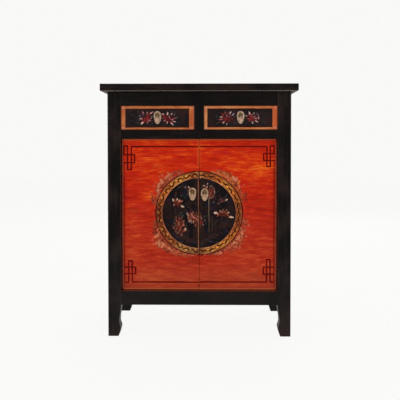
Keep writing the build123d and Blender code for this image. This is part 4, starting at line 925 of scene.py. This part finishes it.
def wreath(film):
    """Sprays of peonies in thin pink and cream outside the round, fullest on the diagonals."""
    wreath_wash(film)
    daubs(film, THIN, (
        # upper left
        (-152, 620, 18, 12, 120, "P", "K"), (-146, 611, 15, 12, 200, "T", "C"), (-159, 606, 14, 11, 170, "K", "C"),
        (-138, 628, 15, 11, 60, "T", "K"), (-128, 634, 14, 10, 100, "T", "C"), (-119, 640, 13, 10, 70, "P", "K"),
        (-124, 649, 11, 9, 120, "P", "K"), (-139, 604, 14, 8, 230, "N", "T"), (-150, 592, 13, 10, 250, "D", "N"),
        (-162, 594, 14, 10, 200, "K", "C"), (-164, 579, 17, 10, 260, "K", "C"), (-157, 571, 14, 7, 250, "T", "K"),
        (-167, 564, 13, 7, 270, "T", "T"), (-180, 598, 9, 8, 90, "P", "B"), (-172, 588, 10, 5, 240, "R", "P"),
        (-132, 617, 12, 8, 330, "N", "T"), (-120, 626, 11, 8, 320, "T", "C"), (-111, 633, 11, 8, 340, "T", "K"),
        (-107, 645, 15, 9, 30, "T", "P"), (-94, 653, 18, 9, 20, "N", "T"), (-77, 658, 18, 8, 10, "N", "T"),
        (-92, 643, 13, 7, 350, "R", "U"), (-69, 650, 13, 6, 350, "R", "P"), (-99, 636, 10, 6, 330, "R", "B"),
        (-186, 557, 11, 8, 100, "U", "T"), (-190, 545, 11, 9, 260, "N", "T"), (-184, 538, 10, 7, 280, "D", "N"),
        (-179, 568, 13, 5, 100, "R", "R"), (-176, 530, 13, 5, 90, "R", "B"), (-193, 563, 9, 6, 130, "T", "T"),
        (-155, 604, 8, 5, 300, "N", "N"), (-143, 621, 8, 4, 20, "N", "N"), (-160, 634, 9, 6, 140, "P", "P"),
        (-148, 639, 12, 8, 110, "P", "K"), (-174, 612, 9, 6, 160, "P", "P"),
        # upper right
        (86, 656, 18, 10, 150, "N", "T"), (92, 648, 13, 8, 330, "N", "C"), (100, 642, 15, 8, 325, "T", "K"),
        (112, 634, 15, 8, 325, "K", "C"), (118, 628, 11, 6, 320, "P", "B"), (120, 643, 15, 11, 150, "N", "T"),
        (107, 651, 13, 10, 160, "N", "T"), (132, 633, 11, 9, 120, "N", "T"), (137, 626, 15, 13, 80, "K", "C"),
        (147, 626, 15, 12, 40, "K", "C"), (153, 617, 14, 10, 10, "T", "K"), (161, 616, 11, 8, 80, "P", "O"),
        (140, 614, 14, 10, 300, "U", "T"), (150, 608, 13, 9, 330, "N", "T"), (146, 600, 14, 8, 310, "D", "U"),
        (156, 600, 11, 8, 350, "T", "P"), (158, 591, 10, 9, 45, "P", "B"), (167, 594, 9, 7, 0, "R", "B"),
        (164, 580, 14, 7, 280, "N", "T"), (168, 567, 13, 6, 280, "P", "P"), (175, 572, 9, 7, 60, "R", "P"),
        (180, 602, 10, 6, 30, "P", "P"), (186, 566, 13, 9, 110, "U", "U"), (184, 552, 13, 9, 260, "U", "N"),
        (190, 542, 10, 7, 280, "D", "U"), (176, 552, 9, 6, 250, "R", "N"), (180, 535, 10, 5, 270, "R", "U"),
        (128, 650, 10, 6, 150, "P", "T"), (142, 620, 8, 5, 60, "N", "N"), (72, 660, 13, 6, 170, "P", "T"),
        # lower right
        (170, 449, 14, 9, 80, "U", "T"), (180, 456, 11, 9, 100, "P", "K"), (192, 462, 9, 7, 60, "R", "P"),
        (198, 441, 9, 8, 20, "P", "K"), (178, 436, 11, 8, 60, "R", "P"), (168, 428, 15, 8, 280, "T", "K"),
        (172, 413, 15, 9, 285, "K", "C"), (164, 407, 13, 6, 250, "N", "T"), (183, 420, 11, 8, 20, "P", "T"),
        (181, 404, 11, 8, 340, "R", "T"), (187, 396, 10, 7, 0, "P", "K"), (170, 396, 13, 10, 300, "T", "C"),
        (158, 394, 14, 10, 200, "K", "C"), (150, 386, 14, 10, 230, "T", "C"), (162, 382, 13, 10, 0, "K", "K"),
        (140, 378, 14, 10, 230, "N", "T"), (148, 370, 13, 10, 330, "T", "C"), (160, 368, 11, 8, 10, "N", "T"),
        (134, 366, 14, 9, 215, "K", "C"), (126, 358, 12, 9, 240, "P", "B"), (117, 352, 13, 9, 215, "T", "K"),
        (122, 342, 11, 8, 250, "R", "P"), (140, 356, 14, 9, 320, "T", "K"), (150, 350, 11, 7, 350, "P", "P"),
        (160, 349, 10, 9, 60, "P", "B"), (140, 342, 15, 7, 340, "T", "T"), (128, 334, 11, 7, 300, "N", "T"),
        (104, 342, 13, 8, 210, "T", "K"), (94, 336, 11, 8, 250, "U", "U"), (84, 328, 13, 9, 205, "K", "C"),
        (73, 326, 11, 6, 190, "P", "K"), (93, 324, 11, 6, 260, "R", "T"), (60, 325, 13, 5, 185, "T", "T"),
        (154, 379, 8, 5, 100, "N", "N"), (132, 373, 8, 4, 20, "N", "N"), (172, 384, 9, 6, 320, "P", "T"),
        (176, 470, 10, 6, 100, "R", "P"), (40, 322, 12, 5, 180, "R", "P"), (22, 321, 12, 5, 180, "P", "P"),
        # lower left
        (-178, 455, 13, 8, 95, "N", "T"), (-184, 440, 11, 8, 250, "R", "T"), (-173, 436, 13, 7, 250, "N", "T"),
        (-166, 423, 15, 8, 250, "T", "K"), (-178, 424, 11, 9, 200, "D", "N"), (-160, 411, 14, 8, 240, "T", "K"),
        (-172, 408, 13, 9, 250, "D", "T"), (-184, 410, 10, 7, 180, "D", "U"), (-162, 397, 14, 9, 240, "T", "K"),
        (-176, 394, 13, 9, 220, "K", "C"), (-186, 380, 10, 9, 200, "P", "B"), (-184, 366, 9, 8, 240, "P", "B"),
        (-168, 382, 13, 10, 260, "N", "T"), (-172, 370, 13, 10, 220, "K", "C"), (-158, 378, 14, 10, 120, "T", "C"),
        (-162, 362, 14, 11, 260, "K", "C"), (-150, 368, 14, 11, 330, "T", "C"), (-148, 382, 13, 9, 100, "D", "U"),
        (-148, 355, 13, 9, 280, "K", "C"), (-138, 372, 13, 9, 330, "N", "T"), (-136, 359, 14, 9, 320, "T", "K"),
        (-127, 350, 15, 9, 325, "T", "K"), (-122, 362, 13, 6, 330, "U", "T"), (-115, 350, 13, 8, 330, "N", "T"),
        (-112, 342, 13, 8, 330, "T", "C"), (-140, 344, 15, 9, 200, "N", "T"), (-128, 335, 15, 9, 190, "D", "N"),
        (-104, 334, 13, 8, 330, "T", "T"), (-92, 330, 11, 9, 20, "P", "B"), (-83, 336, 11, 7, 330, "P", "K"),
        (-92, 322, 13, 6, 350, "T", "T"), (-76, 324, 13, 6, 350, "T", "C"), (-60, 324, 13, 6, 355, "T", "C"),
        (-44, 320, 13, 8, 0, "R", "B"), (-28, 321, 11, 7, 0, "P", "B"), (-12, 322, 11, 5, 0, "R", "P"),
        (-154, 390, 8, 5, 240, "N", "N"), (-168, 358, 9, 5, 300, "T", "N"),
        # sides
        (-179, 508, 15, 5, 92, "R", "P"), (-183, 484, 15, 6, 88, "R", "P"), (179, 510, 15, 5, 88, "R", "P"),
        (181, 486, 14, 5, 92, "R", "P"),
    ), 61, 0.08, 1.08, 0.65, lin(150, 52, 32))
    # the fullest petals lie on top
    daubs(film, THIN, (
        (146, 624, 20, 14, 55, "K", "C"), (156, 613, 17, 10, 80, "O", "O"), (137, 632, 15, 10, 120, "C", "C"),
        (111, 641, 16, 10, 325, "T", "O"), (98, 651, 16, 9, 335, "T", "O"), (158, 596, 13, 9, 285, "K", "O"),
        (-150, 615, 18, 11, 120, "K", "C"), (-161, 600, 16, 10, 260, "K", "C"), (-131, 633, 15, 9, 60, "K", "C"),
        (-163, 578, 16, 8, 265, "C", "K"), (-118, 642, 13, 9, 40, "K", "C"), (-146, 600, 12, 8, 240, "N", "N"),
        (170, 409, 16, 9, 285, "K", "C"), (156, 389, 16, 10, 225, "K", "C"), (137, 370, 15, 9, 220, "C", "K"),
        (-168, 399, 16, 9, 240, "C", "K"), (-160, 370, 17, 11, 260, "K", "C"), (-143, 361, 16, 10, 300, "C", "K"),
        (-121, 347, 15, 9, 325, "K", "C"), (118, 351, 13, 8, 215, "K", "T")
    ), 63, 0.2, 1.0, 0.6, lin(168, 66, 38))


red_paint = paint("painted_red_lines", 0.42, lin(130, 16, 5), 0.16, 120.0, 0.1)
gilt_paint = paint("painted_gilt_band", 0.4, lin(92, 44, 16), 0.3, 95.0, 0.14)
scroll_paint = paint("painted_dark_scroll", 0.42, lin(110, 60, 22), 0.12, 160.0, 0.14)
bloom_paint = paint("painted_blossoms", 0.44, lin(52, 29, 25), 0.3, 150.0, 0.13)
wreath_paint = paint("painted_wreath", 0.44, lin(168, 44, 22), 0.22, 90.0, 0.15)
ground_paint = round_ground("painted_black_ground")

for side, keep in (("left", -1), ("right", 1)):
    body = side + "_door"
    cut = (keep * (DOOR_EDGE + 1.0), keep)
    for part, mat, draw in (("line_border", red_paint, lambda f: frets(f, side)),
                            ("round_ground", ground_paint, lambda f: disc(f, side)),
                            ("gilt_band", gilt_paint, lambda f: gilt_band(f, side)),
                            ("band_scroll", scroll_paint, lambda f: band_scroll(f, side)),
                            ("blossoms", bloom_paint, medallion_flowers), ("seam_line", bloom_paint, seam_line),
                            ("wreath", wreath_paint, wreath)):
        if part == "seam_line" and side == "right":
            continue
        film = Film(f"{side}_door_{part}", body, Y_DOOR, mat,
                    "black_lacquer" if part == "round_ground" else "red_lacquer")
        draw(film)
        film.make(cut)


# ---- drawers: a spray of petals either side of the pull
SPRAYS = {
    "left": (
        (-240, 848, 15, 7, 200, "n", "l"), (-238, 890, 14, 6, 150, "d", "h"), (-246, 868, 12, 6, 180, "u", "d"),
        (-250, 852, 16, 8, 190, "d", "u"), (-186, 846, 14, 6, -30, "n", "l"), (-200, 840, 12, 5, 280, "n", "n"),
        (-212, 862, 26, 18, 10, "m", "r"), (-206, 868, 20, 12, 200, "r", "m"), (-214, 856, 16, 10, 250, "r", "r"),
        (-222, 876, 16, 7, 115, "m", "v"), (-222, 887, 13, 8, 110, "v", "p"), (-230, 884, 10, 5, 140, "m", "v"),
        (-205, 886, 12, 8, 85, "m", "p"), (-212, 880, 14, 5, 95, "m", "b"), (-203, 879, 9, 6, 60, "r", "k"),
        (-190, 887, 16, 8, 32, "k", "c"), (-184, 890, 12, 5, 25, "m", "p"), (-197, 882, 12, 5, 50, "m", "r"),
        (-188, 873, 9, 8, 10, "b", "g"), (-196, 872, 10, 5, 20, "m", "b"), (-191, 865, 11, 6, 25, "r", "p"),
        (-197, 858, 13, 8, -25, "k", "p"), (-188, 856, 12, 5, -10, "m", "v"), (-204, 851, 11, 6, -70, "r", "p"),
        (-209, 847, 10, 5, 265, "m", "v"), (-234, 876, 10, 8, 160, "h", "g"), (-228, 865, 14, 9, 165, "r", "c"),
        (-236, 860, 11, 6, 185, "b", "g"), (-224, 847, 15, 10, 225, "p", "w"), (-219, 854, 10, 6, 215, "m", "k"),
        (-214, 866, 10, 5, 150, "r", "k"), (-201, 864, 9, 5, 30, "m", "r"), (-225, 858, 9, 5, 200, "m", "r"),
        (-130, 866, 26, 16, 170, "m", "r"), (-124, 862, 22, 16, 90, "m", "m"), (-136, 873, 18, 8, 135, "m", "r"),
        (-143, 881, 12, 9, 140, "k", "c"), (-134, 880, 10, 5, 110, "m", "b"), (-125, 884, 13, 8, 80, "p", "w"),
        (-116, 881, 10, 5, 70, "m", "v"), (-109, 882, 11, 8, 60, "b", "c"), (-103, 876, 12, 5, 40, "m", "r"),
        (-97, 880, 11, 5, 95, "h", "g"), (-117, 869, 16, 6, 105, "r", "p"), (-108, 866, 13, 6, 20, "m", "r"),
        (-107, 861, 13, 6, 5, "k", "p"), (-96, 867, 10, 8, 10, "v", "k"), (-87, 869, 12, 7, 80, "h", "h"),
        (-98, 853, 14, 6, -12, "p", "c"), (-109, 855, 10, 5, -20, "m", "r"), (-106, 845, 16, 8, -48, "p", "c"),
        (-114, 850, 10, 6, -60, "m", "k"), (-126, 851, 12, 8, 265, "r", "c"), (-120, 855, 12, 6, 280, "m", "r"),
        (-135, 858, 13, 7, 215, "r", "p"), (-142, 867, 13, 7, 180, "m", "k"), (-148, 858, 12, 5, 200, "n", "v"),
        (-138, 850, 13, 6, 230, "m", "u"), (-130, 844, 10, 5, 250, "n", "m"), (-149, 874, 9, 5, 160, "m", "r"),
        (-76, 884, 16, 7, 20, "d", "n"), (-66, 866, 16, 8, 0, "n", "d"), (-92, 892, 12, 5, 60, "l", "d"),
        (-110, 892, 10, 5, 110, "d", "h"), (-78, 848, 14, 7, -20, "d", "u"), (-262, 880, 16, 8, 170, "n", "n"),
        (-266, 856, 16, 8, 190, "u", "d"),
    ),
    "right": (
        (68, 876, 16, 8, 120, "l", "d"), (66, 866, 14, 7, 200, "d", "u"), (74, 890, 14, 6, 150, "u", "d"),
        (72, 846, 16, 7, 200, "l", "n"), (140, 848, 16, 8, -20, "d", "s"), (128, 842, 14, 6, -50, "d", "d"),
        (112, 861, 28, 15, 0, "r", "m"), (106, 866, 20, 12, 150, "m", "r"), (120, 866, 16, 12, 60, "m", "r"),
        (90, 886, 20, 8, 150, "r", "m"), (94, 880, 14, 6, 140, "m", "b"), (87, 870, 14, 8, 160, "p", "c"),
        (94, 876, 12, 6, 130, "r", "k"), (103, 886, 13, 7, 100, "m", "p"), (111, 886, 11, 5, 95, "n", "r"),
        (116, 883, 12, 7, 80, "m", "k"), (124, 888, 11, 8, 65, "c", "w"), (133, 880, 15, 8, 45, "v", "i"),
        (126, 876, 12, 6, 40, "m", "v"), (108, 874, 14, 7, 100, "r", "p"), (118, 875, 13, 8, 60, "v", "v"),
        (86, 860, 18, 6, 182, "k", "p"), (82, 853, 14, 6, 200, "m", "r"), (76, 862, 12, 5, 180, "m", "v"),
        (94, 853, 12, 6, 215, "m", "k"), (97, 849, 12, 8, 222, "k", "w"), (108, 844, 11, 8, 262, "m", "c"),
        (102, 856, 10, 6, 240, "r", "r"), (113, 850, 12, 6, 280, "m", "b"), (120, 854, 12, 6, -30, "r", "m"),
        (129, 865, 12, 8, 10, "m", "b"), (134, 858, 12, 6, -15, "m", "r"), (138, 870, 13, 6, 20, "u", "v"),
        (128, 852, 12, 5, -40, "n", "m"), (144, 878, 10, 5, 40, "n", "d"), (146, 862, 11, 6, 0, "n", "u"),
        (208, 864, 28, 17, 20, "r", "m"), (203, 868, 20, 13, 140, "r", "r"), (214, 860, 16, 10, -20, "m", "r"),
        (198, 885, 15, 10, 110, "p", "w"), (205, 880, 13, 6, 95, "m", "r"), (187, 874, 12, 8, 165, "b", "c"),
        (194, 876, 10, 5, 150, "m", "r"), (194, 864, 11, 7, 180, "r", "o"), (184, 864, 12, 5, 185, "n", "b"),
        (200, 857, 12, 7, 215, "r", "k"), (192, 854, 11, 5, 210, "n", "m"), (208, 875, 13, 7, 80, "r", "p"),
        (215, 884, 12, 8, 60, "b", "c"), (222, 878, 11, 5, 50, "m", "r"), (226, 884, 12, 6, 70, "v", "v"),
        (232, 879, 12, 6, 80, "v", "g"), (217, 871, 13, 7, 40, "k", "p"), (226, 872, 12, 5, 30, "m", "r"),
        (222, 865, 12, 6, 2, "k", "w"), (235, 867, 14, 8, 95, "k", "c"), (230, 862, 12, 5, -5, "m", "r"),
        (226, 854, 14, 8, -35, "p", "w"), (218, 856, 10, 6, -40, "m", "k"), (210, 850, 12, 9, 272, "b", "w"),
        (216, 846, 11, 5, -60, "n", "v"), (203, 849, 10, 5, 240, "m", "m"), (242, 880, 12, 5, 30, "n", "u"),
        (240, 856, 12, 6, -20, "n", "n"), (186, 846, 16, 8, 200, "u", "d"), (224, 842, 12, 5, -10, "u", "m"),
        (252, 872, 16, 8, 10, "d", "d"), (256, 850, 16, 7, -10, "l", "d"), (250, 888, 14, 6, 20, "d", "n"),
        (176, 880, 9, 5, 160, "l", "n"),
    ),
}
BRIGHT = dict(POT, c=lin(214, 184, 172), p=lin(208, 136, 136), k=lin(176, 76, 78), r=lin(142, 32, 36))
DULL = dict(POT, w=lin(212, 190, 180), c=lin(190, 156, 146), p=lin(180, 108, 106), k=lin(158, 74, 76), r=lin(126, 34, 34))
spray_paint = paint("painted_sprays", 0.42, lin(84, 24, 26), 0.2, 190.0, 0.14)
for side in ("left", "right"):
    film = Film(f"{side}_drawer_flower_sprays", f"{side}_drawer", Y_DRAWER, spray_paint, "drawer_lacquer")
    daubs(film, BRIGHT if side == "left" else DULL, SPRAYS[side], 71 if side == "left" else 72, 0.09, 0.68)
    film.make()


# ------------------------------------------------------------------ floor, light and camera
WHITE = (0.945, 0.945, 0.93)


def stage_material(name):
    """Pale and nearly shadowless to the camera, so that the floor runs into the background."""
    m = bpy.data.materials.new(name)
    m.use_nodes = True
    t = m.node_tree
    t.nodes.clear()
    out = t.nodes.new("ShaderNodeOutputMaterial")
    path = t.nodes.new("ShaderNodeLightPath")
    seen, lit, mix, both = (t.nodes.new(k) for k in ("ShaderNodeEmission", "ShaderNodeBsdfDiffuse",
                                                     "ShaderNodeMixShader", "ShaderNodeAddShader"))
    plain = t.nodes.new("ShaderNodeBsdfDiffuse")
    seen.inputs[0].default_value = (*WHITE, 1)
    seen.inputs[1].default_value = 0.965
    lit.inputs[0].default_value = (0.05, 0.05, 0.05, 1)
    plain.inputs[0].default_value = (0.7, 0.7, 0.69, 1)
    # polished faces show the floor only softly: pale just in front of the cabinet, dim farther off
    faint, other = t.nodes.new("ShaderNodeEmission"), t.nodes.new("ShaderNodeMixShader")
    place = t.nodes.new("ShaderNodeNewGeometry")
    away, fade = t.nodes.new("ShaderNodeVectorMath"), t.nodes.new("ShaderNodeMapRange")
    away.operation, fade.interpolation_type = "LENGTH", "SMOOTHSTEP"
    t.links.new(place.outputs["Position"], away.inputs[0])
    t.links.new(away.outputs["Value"], fade.inputs[0])
    for i, v in ((1, 0.9), (2, 2.6), (3, 0.36), (4, 0.06)):
        fade.inputs[i].default_value = v
    t.links.new(fade.outputs[0], faint.inputs[1])
    faint.inputs[0].default_value = (1.0, 0.98, 0.97, 1)
    t.links.new(path.outputs["Is Glossy Ray"], other.inputs[0])
    t.links.new(plain.outputs[0], other.inputs[1])
    t.links.new(faint.outputs[0], other.inputs[2])
    t.links.new(seen.outputs[0], both.inputs[0])
    t.links.new(lit.outputs[0], both.inputs[1])
    t.links.new(path.outputs["Is Camera Ray"], mix.inputs[0])
    t.links.new(other.outputs[0], mix.inputs[1])
    t.links.new(both.outputs[0], mix.inputs[2])
    t.links.new(mix.outputs[0], out.inputs["Surface"])
    return m


bm = bmesh.new()
bmesh.ops.create_circle(bm, cap_ends=True, radius=9.0, segments=96)
me = bpy.data.meshes.new("studio_floor")
bm.to_mesh(me)
bm.free()
floor = bpy.data.objects.new("studio_floor", me)
bpy.context.scene.collection.objects.link(floor)
me.materials.append(stage_material("studio_floor_white"))

world = bpy.data.worlds.new("studio")
bpy.context.scene.world = world
world.use_nodes = True
t = world.node_tree
t.nodes.clear()
out = t.nodes.new("ShaderNodeOutputWorld")
path = t.nodes.new("ShaderNodeLightPath")
seen, gloss = t.nodes.new("ShaderNodeMixShader"), t.nodes.new("ShaderNodeMixShader")
white, room, dim = (t.nodes.new("ShaderNodeBackground") for _ in range(3))
white.inputs[0].default_value = (*WHITE, 1)
room.inputs[0].default_value = (1.0, 0.99, 0.97, 1)
room.inputs[1].default_value = 0.6
dim.inputs[0].default_value = (1.0, 0.98, 0.96, 1)
dim.inputs[1].default_value = 0.07
t.links.new(path.outputs["Is Glossy Ray"], gloss.inputs[0])
t.links.new(room.outputs[0], gloss.inputs[1])
t.links.new(dim.outputs[0], gloss.inputs[2])
t.links.new(path.outputs["Is Camera Ray"], seen.inputs[0])
t.links.new(gloss.outputs[0], seen.inputs[1])
t.links.new(white.outputs[0], seen.inputs[2])
t.links.new(seen.outputs[0], out.inputs["Surface"])


def area(name, place, aim, size, power, colour=(1.0, 0.98, 0.95)):
    light = bpy.data.lights.new(name, "AREA")
    light.shape, light.size, light.size_y = "RECTANGLE", size[0], size[1]
    light.energy, light.color = power, colour
    o = bpy.data.objects.new(name, light)
    bpy.context.scene.collection.objects.link(o)
    o.location = place
    o.rotation_euler = (Vector(aim) - Vector(place)).to_track_quat("-Z", "Y").to_euler()
    return o


area("left", (-2.4, -2.9, 1.5), (0, 0, 0.5), (1.3, 1.7), 31)
area("right", (2.5, -2.8, 1.4), (0, 0, 0.5), (1.3, 1.7), 28, (1.0, 0.99, 0.98))
area("over", (0.0, 0.5, 3.2), (0, 0, 0.6), (2.6, 2.0), 26)
area("back", (0.8, 3.2, 1.9), (0, 0, 0.5), (2.2, 1.8), 42)

camera = bpy.data.cameras.new("camera")
camera.lens, camera.sensor_width, camera.sensor_fit = 49.8865, 36.0, "HORIZONTAL"
camera.shift_x, camera.shift_y = 0.0, -0.11427
camera.clip_start, camera.clip_end = 0.05, 60.0
cam = bpy.data.objects.new("camera", camera)
bpy.context.scene.collection.objects.link(cam)
yaw, pitch, roll = math.radians(-0.7027), math.radians(1.3668), math.radians(-0.027)
fwd = Vector((math.sin(yaw) * math.cos(pitch), math.cos(yaw) * math.cos(pitch), -math.sin(pitch)))
right = Vector((math.cos(yaw), -math.sin(yaw), 0.0))
up = right.cross(fwd)
right, up = right * math.cos(roll) + up * math.sin(roll), up * math.cos(roll) - right * math.sin(roll)
cam.matrix_world = Matrix((
    (right.x, up.x, -fwd.x, 0.0301), (right.y, up.y, -fwd.y, -2.3687), (right.z, up.z, -fwd.z, 0.7761), (0, 0, 0, 1)))
bpy.context.scene.camera = cam
bpy.context.scene.view_settings.view_transform = "Standard"
bpy.context.scene.view_settings.look = "None"
bpy.context.scene.cycles.use_denoising = True

bpy.context.view_layer.update()
